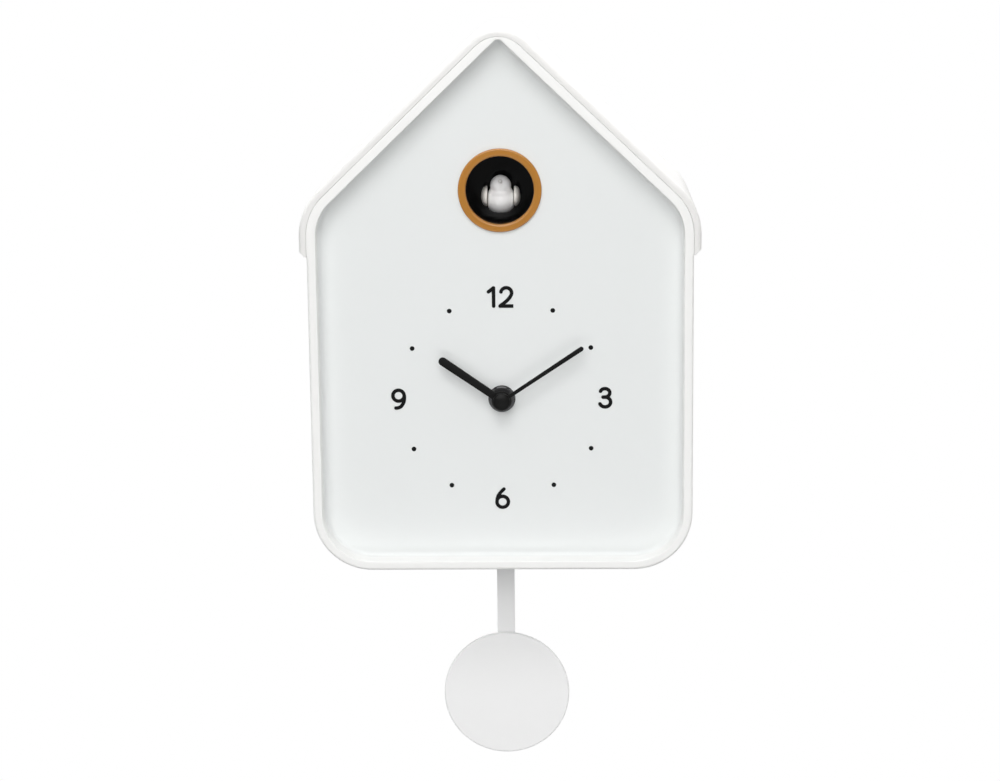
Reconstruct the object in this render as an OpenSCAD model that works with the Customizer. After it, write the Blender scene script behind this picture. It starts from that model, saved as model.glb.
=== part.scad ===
// House-shaped wall clock with a cuckoo in a round opening and a pendulum.
// The origin is the middle of the hanging hole, on the wall face of the back cover.
// +Z is up, the clock faces -Y, the wall lies at Y = 0, and all sizes are in millimetres.

/* [House] */
// Outside width across the eaves of the roof
roof_w = 216; // [180:1:260]
// Height from the underside of the house to the top of the ridge
house_h = 295; // [290:1:360]
// Depth from the wall to the front rim
house_d = 105; // [104:1:130]
// Slope of the roof in degrees
roof_slope = 43.7; // [38:0.1:48]
// Thickness of the roof cover that wraps the roof of the house
roof_t = 4; // [3:0.1:6]
// Outside radius of the ridge
ridge_r = 21; // [14:0.5:30]
// Outside radius of the eaves
eave_r = 34; // [20:1:45]
// Outside radius of the two bottom corners
corner_r = 32; // [15:1:45]
// Straight length of roof cover below the curve of the eave
eave_drop = 11; // [4:1:25]
// Width of the rim around the face
rim_w = 5; // [4:0.5:8]
// Thickness of the walls behind the face
wall_t = 3; // [2:0.1:4]
// Thickness of the rim at the ridge
rim_ridge_t = 1.5; // [1:0.1:4]
// Depth of the face behind the front rim
face_recess = 12; // [12:0.5:25]
// Thickness of the face
face_t = 2.5; // [2:0.1:4]
// Gap between the roof cover and the house
roof_gap = 0.1; // [0.05:0.05:0.3]

/* [Places on the face] */
// Height of the dial centre above the underside of the house
dial_h = 94; // [90:1:110]
// Distance from the top of the ridge down to the middle of the cuckoo opening
cuckoo_drop = 86.5; // [80:0.5:95]
// Distance from the top of the ridge down to the hanging hole
hanger_drop = 46; // [40:1:50]

/* [Hands] */
// Hour that the hands show
clock_hour = 10; // [0:1:11]
// Minute that the hands show
clock_minute = 9.4; // [0:0.1:59.9]
// Length of the hour hand from its centre to its tip
hour_hand_l = 41; // [30:0.5:50]
// Width of the hour hand at its tip
hour_hand_w = 4.6; // [3:0.1:6]
// Length of the minute hand from its centre to its tip
minute_hand_l = 53.5; // [40:0.5:54]
// Width of the minute hand at its tip
minute_hand_w = 2.5; // [2:0.1:4]
// Thickness of each hand
hand_t = 1; // [0.8:0.1:1.2]
// Radius of the cap over the hands
cap_r = 4.8; // [4:0.1:6]

/* [Cuckoo opening] */
// Inside radius of the round opening
opening_r = 18.4; // [17.5:0.1:22.5]
// Width of the coloured ring around the opening
ring_w = 4.2; // [3:0.1:6]
// Height of the ring above the face
ring_h = 1.6; // [1:0.1:3]
// Depth from the face to the back plate of the opening
niche_d = 33; // [33:1:36]
// Thickness of the sleeve that lines the opening
sleeve_t = 1.6; // [1.2:0.1:2]

/* [Bird] */
// Height of the bird
bird_h = 20.6; // [18:0.2:21]
// Width of the bird across its wings
bird_w = 21.6; // [20:0.2:22.4]
// Length of the bird from breast to tail
bird_l = 22; // [20:0.5:23]
// Distance that the bird comes forward
bird_travel = 26; // [18:1:26]
// Angle that the wings turn up, in degrees
wing_turn = 30; // [10:1:32]
// Teeth on the pinion that moves the bird
rack_teeth = 12; // [11:1:13]

/* [Movement] */
// Width and height of the quartz movement
movement_w = 56; // [54:1:66]
// Depth of the quartz movement
movement_d = 16; // [16:0.5:17]
// Outside radius of the threaded neck
neck_r = 4; // [3.5:0.1:5]
// Outside radius of the dial nut
nut_r = 7.1; // [6:0.1:9]

/* [Pendulum] */
// Diameter of the pendulum disc
bob_d = 72; // [50:1:90]
// Thickness of the pendulum disc
bob_t = 3; // [2:0.1:4]
// Distance from the pivot to the middle of the disc
pendulum_l = 151.5; // [145:0.5:200]
// Width of the pendulum rod
rod_w = 10; // [6:0.5:12]
// Thickness of the pendulum rod
rod_t = 2; // [1.5:0.1:3]
// Swing to each side in degrees
swing = 8; // [3:1:9]

/* [Back] */
// Thickness of the back cover
back_t = 2.5; // [2.2:0.1:3.5]
// Radius of the hanging hole
keyhole_r = 4.5; // [3.5:0.1:5.5]
// Width of the slot above the hanging hole
keyhole_slot = 4.2; // [3:0.1:5]
// Radius of a battery cell
cell_r = 7.1; // [7:0.05:7.25]
// Length of a battery cell without its button
cell_l = 49; // [48:0.5:49.5]
// Radius of the speaker
speaker_r = 25; // [18:0.5:26]
// Width of the circuit board
board_w = 62; // [56:1:62]
// Height of the circuit board
board_h = 54; // [50:1:56]

/* [Clearances] */
// Gap all round the back cover in the house
cover_gap = 0.3; // [0.2:0.05:0.5]
// Radial clearance of a shaft in its hole
fit = 0.06; // [0.03:0.01:0.1]
// Gap between parts that move past each other
move_gap = 0.4; // [0.3:0.05:0.6]

/* [Hidden] */
$fn = 48;
arc_steps = 14;

// Depths, from the front rim back to the wall
rim_y = -house_d;
face_y = rim_y + face_recess;
face_back = face_y + face_t;
cover_y = -back_t;

// Heights
ridge_z = hanger_drop;
under_z = ridge_z - house_h;
dial_z = under_z + dial_h;
cuckoo_z = ridge_z - cuckoo_drop;

// Outline of the house
ridge_sharp = ridge_z + ridge_r * (1 / cos(roof_slope) - 1);
in_hw = roof_w / 2 - roof_t - wall_t;
in_z = under_z + wall_t;

// ---- helpers -------------------------------------------------------------------------

// Points of an arc around c, of radius r, from angle a to angle b
function arc(c, r, a, b) =
    [for (i = [0 : arc_steps]) let (t = a + (b - a) * i / arc_steps) c + r * [cos(t), sin(t)]];

// Middle of the eave curve on the right
eave_x = roof_w / 2 - eave_r;
eave_mid = [eave_x, ridge_sharp - eave_x * tan(roof_slope) - eave_r / cos(roof_slope)];

// Radius of the ridge of the recess, which is tighter than a parallel line would be
recess_ridge_r = max(1, (ridge_sharp - (roof_t + rim_w) / cos(roof_slope) - ridge_z + roof_t
                         + rim_ridge_t) / (1 / cos(roof_slope) - 1));

// Roof line from the right eave over the ridge to the left eave, at a depth o inside
// and with the ridge rounded to the radius r
function roof_line(o, r) =
    let (e = eave_r - o, s = 90 - roof_slope)
    concat(arc(eave_mid, e, 0, s),
           arc([0, ridge_sharp - (o + r) / cos(roof_slope)], r, s, 180 - s),
           arc([-eave_mid[0], eave_mid[1]], e, 180 - s, 180));

// Whole outline of the house at a depth o inside the roof's outer face; its ridge is
// rounded to top_r, or runs parallel to the roof's outer face
function house(o, top_r) =
    let (w = roof_w / 2 - o, d = o - roof_t, r = corner_r - d, z = under_z + d + r)
    concat(arc([w - r, z], r, -90, 0), roof_line(o, is_undef(top_r) ? ridge_r - o : top_r),
           arc([r - w, z], r, 180, 270));

// Plate from depth y0 back to y1 with an outline drawn in X and Z
module slab(y0, y1) {
    translate([0, y1, 0]) rotate([90, 0, 0]) linear_extrude(y1 - y0) children();
}

// Round bar along Y
module rod_y(x, z, y0, y1, r) {
    translate([x, y1, z]) rotate([90, 0, 0]) cylinder(h = y1 - y0, r = r);
}

// Round bar along X
module rod_x(y, z, x0, x1, r) {
    translate([x0, y, z]) rotate([0, 90, 0]) cylinder(h = x1 - x0, r = r);
}

// Box between two corners
module block(a, b) {
    translate(a) cube(b - a);
}

// Rectangle with round corners around the middle m
module plate_2d(m, w, h, r) {
    translate(m) union() {
        square([w - 2 * r, h], center = true);
        square([w, h - 2 * r], center = true);
        for (x = [-1, 1], z = [-1, 1])
            translate([x * (w / 2 - r), z * (h / 2 - r)]) circle(r);
    }
}

// Points of a spur gear with straight-sided teeth, a tooth at the angle turn
function gear_points(n, m, turn) =
    let (r = n * m / 2, tip = r + 0.85 * m, root = r - 1.2 * m, half = 90 / n * 0.86,
         at_tip = max(half - 20 * m / r, half * 0.28), at_root = half + 16 * m / r)
    [for (i = [0 : n - 1], p = [[root, -at_root], [tip, -at_tip], [tip, at_tip], [root, at_root]])
        let (a = turn + i * 360 / n + p[1]) p[0] * [cos(a), sin(a)]];

// Angle of a gear that is in mesh with another, which lies towards the angle way from it
function mesh_turn(way, n1, turn1, n2) = way + 180 - (0.5 - (way - turn1) * n1 / 360) * 360 / n2;

// Gear from depth y0 back to y1 on an axis along Y
module gear_y(c, y0, y1, n, m, turn) {
    slab(y0, y1) translate(c) polygon(gear_points(n, m, turn));
}

// Gear from x0 to x1 on an axis along X, its angles counted from +Y towards +Z
module gear_x(y, z, x0, x1, n, m, turn) {
    translate([x0, y, z]) rotate([90, 0, 90]) linear_extrude(x1 - x0) polygon(gear_points(n, m, turn));
}

// Pan-head screw whose head stands on z = 0 and whose shank points down
module screw(r, l, head_r, head_h) {
    difference() {
        union() {
            translate([0, 0, -l]) cylinder(h = l, r = r);
            cylinder(h = head_h, r = head_r);
        }
        for (a = [0, 90])
            rotate([0, 0, a]) translate([-head_r * 0.6, -head_r * 0.12, head_h * 0.45])
                cube([head_r * 1.2, head_r * 0.24, head_h]);
    }
}

// Places something with its +Z pointing forwards (side -1) or backwards (side 1) along Y
module facing(x, y, z, side) {
    translate([x, y, z]) rotate([side * -90, 0, 0]) children();
}

// ---- housing -------------------------------------------------------------------------

boss_r = 4.5;
cover_screw_r = 1.25;
cover_screw_l = 12;
cover_head_r = 2.8;
cover_head_h = 1.4;
boss_x = in_hw - 3.6;
COVER_SCREWS = [
    [-boss_x, in_z + corner_r], [boss_x, in_z + corner_r],
    [-boss_x, dial_z + 58], [boss_x, dial_z + 58],
    [0, ridge_z - roof_t - wall_t - 3.5]
];

// Screws that hold the roof cover, as distance from the middle and depth
ROOF_SCREWS = [for (s = [-1, 1], y = [face_back + 12, -24]) [s, y]];
roof_screw_x = roof_w / 4;
roof_screw_r = 1.1;

// Turns +Z square to the roof, at the inner face of the house wall
module on_slope(side, y) {
    z = ridge_sharp - (roof_t + wall_t) / cos(roof_slope) - roof_screw_x * tan(roof_slope);
    translate([side * roof_screw_x, y, z]) rotate([0, side * roof_slope, 0]) children();
}

// Posts behind the face for the sleeve and for the pendulum driver
post_r = 3.2;
post_hole_r = 1.1;
flange_r = opening_r + sleeve_t + 8.5;
NICHE_POSTS = [for (a = [90, 210, 330]) [0, cuckoo_z] + (flange_r - 3.5) * [cos(a), sin(a)]];
sleeve_back = face_y + niche_d;
flange_t = 2;
pivot_z = dial_z - movement_w / 2 - 2;
driver_y0 = face_back + movement_d + 1.5;
driver_y1 = driver_y0 + 13;
driver_w = 44;
driver_top = pivot_z + 9;
driver_low = pivot_z - 27;
DRIVER_POSTS = [for (s = [-1, 1]) [s * (driver_w / 2 + 5), pivot_z - 15]];

// Pendulum plane and the slot that the rod comes through
arm_y = driver_y1 + 1.5;
rod_y0 = arm_y + 5;
slot_hw = (pivot_z - under_z) * tan(swing) + rod_w / 2 / cos(swing) + 1.5;

module front_shell() {
    color("whitesmoke") difference() {
        union() {
            difference() {
                slab(rim_y, 0) polygon(house(roof_t));
                slab(rim_y - 1, face_y) polygon(house(roof_t + rim_w, recess_ridge_r));
                slab(face_back, 1) polygon(house(roof_t + wall_t));
            }
            for (p = COVER_SCREWS) rod_y(p[0], p[1], cover_y - 18, cover_y, boss_r);
            for (p = NICHE_POSTS) rod_y(p[0], p[1], face_back, sleeve_back - flange_t, post_r);
            for (p = DRIVER_POSTS) rod_y(p[0], p[1], face_back, driver_y0, post_r);
        }
        for (p = COVER_SCREWS) rod_y(p[0], p[1], cover_y - 14, cover_y + 1, cover_screw_r);
        for (p = NICHE_POSTS)
            rod_y(p[0], p[1], sleeve_back - flange_t - 9, sleeve_back, post_hole_r);
        for (p = DRIVER_POSTS) rod_y(p[0], p[1], driver_y0 - 9, driver_y0 + 1, post_hole_r);
        for (p = ROOF_SCREWS) on_slope(p[0], p[1]) translate([0, 0, -1]) cylinder(h = 6, r = 1.5);
        rod_y(0, dial_z, face_y - 1, face_back + 1, neck_r + 0.1);
        rod_y(0, cuckoo_z, face_y - 1, face_back + 1, opening_r + sleeve_t + 0.1);
        block([-slot_hw, rod_y0 - 4, under_z - 1], [slot_hw, rod_y0 + rod_t + 4, in_z + 1]);
    }
}

// Roof moulding that clips over the slopes and a little way down the sides
module roof_cover() {
    end_z = eave_mid[1] - eave_drop;
    w = roof_w / 2;
    i = w - roof_t + roof_gap;
    c = roof_t - 0.8;
    outer = concat([[i, end_z], [w - c, end_z], [w, end_z + c]], roof_line(0, ridge_r),
                   [[-w, end_z + c], [c - w, end_z], [-i, end_z]]);
    inner = roof_line(roof_t - roof_gap, ridge_r - roof_t + roof_gap);
    back = [for (k = [len(inner) - 1 : -1 : 0]) inner[k]];
    color("white") difference() {
        slab(rim_y, -2) polygon(concat(outer, back));
        for (p = ROOF_SCREWS)
            on_slope(p[0], p[1]) translate([0, 0, -1]) cylinder(h = wall_t + 3.6, r = roof_screw_r);
    }
}

module roof_screws() {
    color("silver") for (p = ROOF_SCREWS)
        on_slope(p[0], p[1]) mirror([0, 0, 1]) screw(roof_screw_r - 0.02, wall_t + 2.4, 2.2, 1.2);
}

// Battery bay: three cells lie across it, one above the other
bay_wall = 1.5;
bay_l = cell_l + 11;
bay_h = 6 * cell_r + 3.4;
bay_floor = cover_y - 2 * cell_r - 0.8;
bay_x = in_hw - 22 - bay_l / 2;
bay_z = in_z + 24 + bay_h / 2;
door_t = 2;
hinge_y = -door_t / 2;
hinge_z = bay_z + bay_h / 2 - door_t / 2 - move_gap;
hinge_r = 0.7;

// Speaker, board and controls
speaker_x = 24 + speaker_r - in_hw;
speaker_z = in_z + 22 + speaker_r;
board_x = board_w / 2 + 16 - in_hw;
board_z = speaker_z + speaker_r + board_h / 2 + 6;
board_y = cover_y - 8;
board_t = 1.6;
BOARD_POSTS = [for (x = [-1, 1], z = [-1, 1])
    [board_x + x * (board_w / 2 - 4), board_z + z * (board_h / 2 - 4)]];
slider_x = board_x + 12;
slider_z = board_z + 14;
slider_travel = 4;
button_x = board_x - 14;
button_z = slider_z;
button_r = 3;
button_travel = 1.2;

// Axis of the minute wheel, which also carries the setting knob
motion_dist = 12;
motion_c = [0, dial_z] + motion_dist * [cos(135), sin(135)];
knob_r = 7;

module back_cover() {
    color("whitesmoke") difference() {
        union() {
            slab(cover_y, 0) polygon(house(roof_t + wall_t + cover_gap));
            block([bay_x - bay_l / 2 - bay_wall, bay_floor - bay_wall, bay_z - bay_h / 2 - bay_wall],
                  [bay_x + bay_l / 2 + bay_wall, -1, bay_z + bay_h / 2 + bay_wall]);
            rod_y(speaker_x, speaker_z, cover_y - 3.5, -1, speaker_r + 2);
            for (p = BOARD_POSTS) rod_y(p[0], p[1], board_y, -1, 3);
            rod_y(motion_c[0], motion_c[1], cover_y - 6, -1, knob_r + 2.5);
        }
        // hanging hole with its slot, and a lead-in behind it
        rod_y(0, 0, cover_y - 1, 1, keyhole_r);
        block([-keyhole_slot / 2, cover_y - 1, 0], [keyhole_slot / 2, 1, keyhole_r + 6]);
        rod_y(0, keyhole_r + 6, cover_y - 1, 1, keyhole_slot / 2);
        // battery bay, its hinge holes and a notch for a finger
        block([bay_x - bay_l / 2, bay_floor, bay_z - bay_h / 2], [bay_x + bay_l / 2, 1, bay_z + bay_h / 2]);
        rod_x(hinge_y, hinge_z, bay_x - bay_l / 2 - 1, bay_x + bay_l / 2 + 1, hinge_r + fit);
        block([bay_x - 7, -1.4, bay_z - bay_h / 2 - 5], [bay_x + 7, 1, bay_z]);
        // speaker seat and its grille
        rod_y(speaker_x, speaker_z, cover_y - 4, cover_y, speaker_r + 0.2);
        for (i = [0 : 3], k = [0 : max(0, 6 * i - 1)])
            rod_y(speaker_x + i * 5 * cos(k * 60 / max(i, 1)), speaker_z + i * 5 * sin(k * 60 / max(i, 1)),
                  cover_y - 1, 1, 1.3);
        // knob well, slider slot, button hole and screw holes
        rod_y(motion_c[0], motion_c[1], cover_y - 5, 1, knob_r + 1);
        rod_y(motion_c[0], motion_c[1], cover_y - 7, 1, 3);
        block([slider_x - slider_travel - 3.4, cover_y - 1, slider_z - 2.4],
              [slider_x + slider_travel + 3.4, 1, slider_z + 2.4]);
        rod_y(button_x, button_z, cover_y - 1, 1, button_r + move_gap);
        for (p = COVER_SCREWS) {
            rod_y(p[0], p[1], cover_y - 1, 1, cover_screw_r + 0.3);
            rod_y(p[0], p[1], -cover_head_h - 0.1, 1, cover_head_r + 0.3);
        }
        for (p = BOARD_POSTS) rod_y(p[0], p[1], board_y - 1, -2, 0.9);
    }
}

module battery_door() {
    x0 = bay_x - bay_l / 2 + move_gap;
    x1 = bay_x + bay_l / 2 - move_gap;
    color("whitesmoke") union() {
        block([x0, -door_t, bay_z - bay_h / 2 + move_gap], [x1, 0, hinge_z]);
        rod_x(hinge_y, hinge_z, x0, x1, door_t / 2);
        rod_x(hinge_y, hinge_z, x0 - 1.2, x1 + 1.2, hinge_r);
        for (z = [0 : 3]) block([bay_x - 6, -door_t - 0.5, bay_z - bay_h / 2 + 5 + 2.4 * z],
                                [bay_x + 6, -door_t, bay_z - bay_h / 2 + 6 + 2.4 * z]);
    }
}

module cover_screws() {
    color("silver") for (p = COVER_SCREWS)
        facing(p[0], -cover_head_h - 0.05, p[1], 1)
            screw(cover_screw_r - 0.02, cover_screw_l, cover_head_r, cover_head_h - 0.1);
}

// ---- cuckoo opening ------------------------------------------------------------------

sleeve_r = opening_r + sleeve_t;
plate_y = sleeve_back;
plate_t = 2;
sensor_y = face_y + 6;

module opening_ring() {
    color("darkgoldenrod") translate([0, face_back, cuckoo_z]) rotate([90, 0, 0]) rotate_extrude()
        polygon([
            [opening_r, 0], [sleeve_r, 0], [sleeve_r, face_t], [opening_r + ring_w, face_t],
            [opening_r + ring_w, face_t + ring_h - 0.5], [opening_r + ring_w - 0.5, face_t + ring_h],
            [opening_r + 0.8, face_t + ring_h], [opening_r, face_t + ring_h - 0.8]
        ]);
}

module niche_sleeve() {
    color("black") difference() {
        union() {
            rod_y(0, cuckoo_z, face_back, sleeve_back, sleeve_r);
            rod_y(0, cuckoo_z, sleeve_back - flange_t, sleeve_back, flange_r);
        }
        rod_y(0, cuckoo_z, face_back - 1, sleeve_back + 1, opening_r);
        for (p = NICHE_POSTS) rod_y(p[0], p[1], sleeve_back - flange_t - 1, sleeve_back + 1, 1.4);
        translate([0, sensor_y, cuckoo_z - sleeve_r - 1]) cylinder(h = sleeve_t + 2, r = sensor_r + 0.1);
    }
}

// Back plate of the opening, with a window for the bird's arm
frame_screw_z = cuckoo_z - sleeve_r - 3.5;
window_hw = 4.6;
module niche_backplate() {
    color("black") difference() {
        rod_y(0, cuckoo_z, plate_y, plate_y + plate_t, flange_r);
        for (p = NICHE_POSTS) rod_y(p[0], p[1], plate_y - 1, plate_y + plate_t + 1, 1.4);
        block([-window_hw, plate_y - 1, rack_z - 3.4], [window_hw, plate_y + plate_t + 1, arm_z + 3.4]);
        for (s = [-1, 1]) rod_y(s * 6, frame_screw_z, plate_y - 1, plate_y + plate_t + 1, 1);
    }
}

module niche_screws() {
    color("silver") for (p = NICHE_POSTS)
        facing(p[0], plate_y + plate_t, p[1], 1) screw(post_hole_r - 0.02, 11, 2.3, 1.5);
}

// Small light sensor in the floor of the sleeve
sensor_r = 1.5;
sensor_z = cuckoo_z - opening_r;
module light_sensor() {
    color("dimgray") translate([0, sensor_y, sensor_z]) union() {
        translate([0, 0, -4]) cylinder(h = 4.2, r = sensor_r);
        translate([0, 0, -5]) cylinder(h = 1, r = sensor_r + 0.6);
    }
}

// ---- bird and its drive --------------------------------------------------------------

breast_y = face_y + 9;
tail_y = breast_y + bird_l;
bird_low = cuckoo_z - opening_r + 4;
bird_top = bird_low + bird_h;
head_r = 5.9;
head_y = breast_y + 8;
belly_hw = bird_w / 2 - 3.8;
wing_in = belly_hw + 0.3;
peg_y = head_y + 1;
peg_z = bird_low + 11.4;
peg_r = 0.9;

// Arm and rack that carry the bird
arm_z = bird_low + 6.2;
arm_r = 1.6;
rack_m = 0.8;
carriage_hw = 3.2;
carriage_y0 = plate_y + plate_t + bird_travel - 5;
carriage_y1 = carriage_y0 + bird_travel + 4;
pinion_y = carriage_y0 + 3;
rack_z = arm_z - 2;
pinion_r = rack_teeth * rack_m / 2;
pinion_z = rack_z - rack_m - pinion_r;

// Head and belly are round, the underside is flat and the tail runs back and up
module bird_body() {
    mid_z = bird_low + 7.6;
    color("white") difference() {
        union() {
            hull() {
                translate([0, head_y, bird_top - head_r]) sphere(head_r, $fn = 32);
                translate([0, head_y + 2.5, mid_z]) scale([belly_hw / 8, 1, 1]) sphere(8, $fn = 32);
            }
            hull() {
                translate([0, head_y + 2.5, mid_z]) scale([belly_hw / 8, 1, 1]) sphere(7.6, $fn = 32);
                translate([0, tail_y - 1.5, mid_z + 2]) scale([2.2, 1, 0.8]) sphere(1.5, $fn = 24);
            }
            rod_x(peg_y, peg_z, -wing_in - 1.6, -2, peg_r);
            rod_x(peg_y, peg_z, 2, wing_in + 1.6, peg_r);
        }
        block([-20, breast_y - 5, bird_low - 9], [20, tail_y + 5, bird_low]);
        rod_y(0, arm_z, tail_y - 9, tail_y + 5, arm_r + 0.06);
        translate([0, head_y, beak_z]) rotate([90, 0, 0]) cylinder(h = 9, r = 0.96);
    }
}

// Beak high on the head; its cone starts where it clears the curve of the head
beak_up = 3.3;
beak_base_r = 1.3;
beak_z = bird_top - head_r + beak_up;
beak_start = sqrt(pow(head_r, 2) - pow(beak_up - beak_base_r, 2)) + 0.05;
module bird_beak() {
    color("gainsboro") translate([0, head_y - 3, beak_z]) rotate([90, 0, 0]) union() {
        cylinder(h = beak_start - 3, r = 0.9);
        translate([0, 0, beak_start - 3]) cylinder(h = 1.6, r1 = beak_base_r, r2 = 0.3);
    }
}

// Wing outside the belly, which turns on a peg near its front
module wing(side) {
    color("ivory") difference() {
        translate([side * wing_in, peg_y + 3.5, peg_z - 2.6])
            scale([(bird_w / 2 - wing_in) / 8, 1.05, 0.7]) sphere(8, $fn = 32);
        block([side > 0 ? -20 : -wing_in, peg_y - 20, peg_z - 20],
              [side > 0 ? wing_in : 20, peg_y + 30, peg_z + 20]);
        rod_x(peg_y, peg_z, side > 0 ? 0 : -wing_in - 1.9, side > 0 ? wing_in + 1.9 : 0, peg_r + fit);
    }
}
module bird_wing_left() { wing(-1); }
module bird_wing_right() { wing(1); }

// Arm to the bird with a rack under its slide
module bird_carriage() {
    pitch = PI * rack_m;
    first = 1 - floor((pinion_y - carriage_y0) / pitch);
    last = floor((carriage_y1 - pinion_y) / pitch) - 1;
    teeth = [for (i = [first : last], p = [[-0.83, 0], [-0.28, -1.8], [0.28, -1.8], [0.83, 0]])
        [pinion_y + i * pitch + p[0], rack_z + 0.2 + p[1]]];
    profile = concat([[carriage_y0, arm_z + 2], [carriage_y0, rack_z + 0.2]], teeth,
                     [[carriage_y1, rack_z + 0.2], [carriage_y1, arm_z + 2]]);
    color("dimgray") union() {
        rod_y(0, arm_z, tail_y - 7, carriage_y0 + 1, arm_r);
        translate([-2.5, 0, 0]) rotate([90, 0, 90]) linear_extrude(5) polygon(profile);
        block([-carriage_hw, carriage_y0, rack_z + 0.7], [carriage_hw, carriage_y1, arm_z + 2]);
    }
}

// Channel that guides the slide, with lips over its top
rail_low = rack_z - 3.4;
rail_y0 = plate_y + plate_t + 0.1;
gear_m = 0.5;
gear_n = 44;
motor_n = 10;
gear_x0 = 5.2;
gear_x1 = 7.6;
frame_x0 = -10;
frame_x1 = 11;
frame_t = 2;
frame_low = pinion_z - 21.4;
frame_y1 = pinion_y + 12;
motor_z = pinion_z - (gear_n + motor_n) * gear_m / 2;
shaft_r = 1.5;
collar_r = rail_low - pinion_z - move_gap;

module bird_rail() {
    side = carriage_hw + 0.08;
    top = arm_z + 2.3;
    color("gray") difference() {
        union() {
            block([frame_x0, rail_y0, rail_low], [frame_x1, cover_y - 2.5, rail_low + 1.4]);
            for (s = [-1, 1]) {
                block([s > 0 ? side : -side - 1.3, rail_y0, rail_low],
                      [s > 0 ? side + 1.3 : -side, cover_y - 2.5, top]);
                block([s > 0 ? side - 1.4 : -side - 1.3, rail_y0, top],
                      [s > 0 ? side + 1.3 : 1.4 - side, cover_y - 2.5, top + 1.2]);
            }
        }
        block([-2.9, pinion_y - 7, rail_low - 1], [2.9, pinion_y + 7, rail_low + 2]);
        block([gear_x0 - 0.5, pinion_y - 12.2, rail_low - 1], [frame_x1 + 1, cover_y, rail_low + 2]);
        block([frame_x0 - 1, frame_y1 + 1, rail_low - 1], [-side - 1.3, cover_y, rail_low + 2]);
    }
}

module mechanism_frame() {
    color("gray") difference() {
        union() {
            block([frame_x0, rail_y0, frame_low], [frame_x0 + frame_t, frame_y1, rail_low]);
            block([frame_x1 - frame_t, rail_y0, frame_low], [frame_x1, frame_y1, rail_low]);
            block([frame_x0, rail_y0, frame_low], [frame_x1, rail_y0 + 1.5, rail_low]);
            block([frame_x0, rail_y0, frame_low], [frame_x1, frame_y1, frame_low + 1.5]);
        }
        rod_x(pinion_y, pinion_z, frame_x0 - 1, frame_x1 + 1, shaft_r + fit);
        rod_x(pinion_y, motor_z, frame_x0 - 1, frame_x0 + 3, 3);
        for (s = [-1, 1]) rod_y(s * 6, frame_screw_z, rail_y0 - 1, rail_y0 + 3, 1.3);
    }
}

module mechanism_screws() {
    color("silver") for (s = [-1, 1])
        facing(s * 6, rail_y0 + 1.5, frame_screw_z, 1) screw(0.98, 3.4, 1.9, 1.2);
}

// Pinion under the rack and the large gear beside it, on one shaft
module bird_drive_gear() {
    color("ivory") union() {
        gear_x(pinion_y, pinion_z, -2.5, 2.5, rack_teeth, rack_m, 90 + 180 / rack_teeth);
        gear_x(pinion_y, pinion_z, gear_x0, gear_x1, gear_n, gear_m, -90);
        rod_x(pinion_y, pinion_z, frame_x0 - 0.6, frame_x1 + 0.6, shaft_r);
        rod_x(pinion_y, pinion_z, frame_x0 + frame_t + 0.3, frame_x1 - frame_t - 0.3, collar_r);
    }
}

module bird_motor() {
    color("silver") difference() {
        union() {
            rod_x(pinion_y, motor_z, frame_x0 + frame_t, 3.2, 6);
            rod_x(pinion_y, motor_z, 3.2, 4, 2.2);
            rod_x(pinion_y, motor_z, frame_x0, frame_x0 + frame_t, 3);
        }
        rod_x(pinion_y, motor_z, -3, 5, 0.8 + fit);
    }
}

module motor_pinion() {
    color("gold") union() {
        gear_x(pinion_y, motor_z, gear_x0, gear_x1, motor_n, gear_m, mesh_turn(-90, gear_n, -90, motor_n));
        rod_x(pinion_y, motor_z, -2.5, gear_x1 + 0.4, 0.8);
    }
}

// ---- quartz movement and hands -------------------------------------------------------

// Layers of the wheels, counted back from the back of the face
hour_y = face_back + 2.3;
minute_y = face_back + 3.9;
centre_y = face_back + 5.9;
third_y = face_back + 7.7;
seconds_y = face_back + 9.5;
fifth_y = face_back + 11.3;
wheel_t = 0.9;
lid_y = face_back + movement_d - 2;
case_t = 1.5;
pivot_deep = 0.8;
pivot_r = 0.5;

// Teeth, tooth sizes and axes of the train
cannon_n = 12;
minute_n = 36;
minute_pinion_n = 10;
hour_n = 40;
motion_m = 2 * motion_dist / (cannon_n + minute_n);
hour_m = 2 * motion_dist / (minute_pinion_n + hour_n);
centre_n = 60;
third_n = 64;
seconds_n = 60;
fifth_n = 50;
small_n = 8;
fast_n = 10;
centre_m = 0.35;
train_m = 0.3;
centre_c = [0, dial_z];
third_way = -30;
seconds_way = -110;
fifth_way = 170;
rotor_way = 150;
third_c = centre_c + centre_m * (centre_n + small_n) / 2 * [cos(third_way), sin(third_way)];
seconds_c = third_c + train_m * (third_n + small_n) / 2 * [cos(seconds_way), sin(seconds_way)];
fifth_c = seconds_c + train_m * (seconds_n + fast_n) / 2 * [cos(fifth_way), sin(fifth_way)];
rotor_c = fifth_c + train_m * (fifth_n + fast_n) / 2 * [cos(rotor_way), sin(rotor_way)];

// Hands, from the back forwards
hour_hand_y = face_y - 5.9;
minute_hand_y = hour_hand_y - 1.7;
cap_y = minute_hand_y - 1;
arbor_r = 1.5;
tube_r = arbor_r + fit + 0.9;
minute_turn = clock_minute * 6;
hour_turn = clock_hour * 30 + clock_minute / 2;

module movement_case() {
    color("black") difference() {
        union() {
            slab(face_back, lid_y) plate_2d(centre_c, movement_w, movement_w, 4);
            rod_y(0, dial_z, face_y - 4.2, face_back + 1, neck_r);
        }
        slab(face_back + case_t, lid_y + 1)
            plate_2d(centre_c, movement_w - 2 * case_t, movement_w - 2 * case_t, 2.6);
        rod_y(0, dial_z, face_y - 5, face_back + 2, tube_r + fit);
        for (c = [motion_c, third_c, seconds_c, fifth_c, rotor_c])
            rod_y(c[0], c[1], face_back + case_t - pivot_deep, face_back + 2, pivot_r + fit);
    }
}

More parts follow.
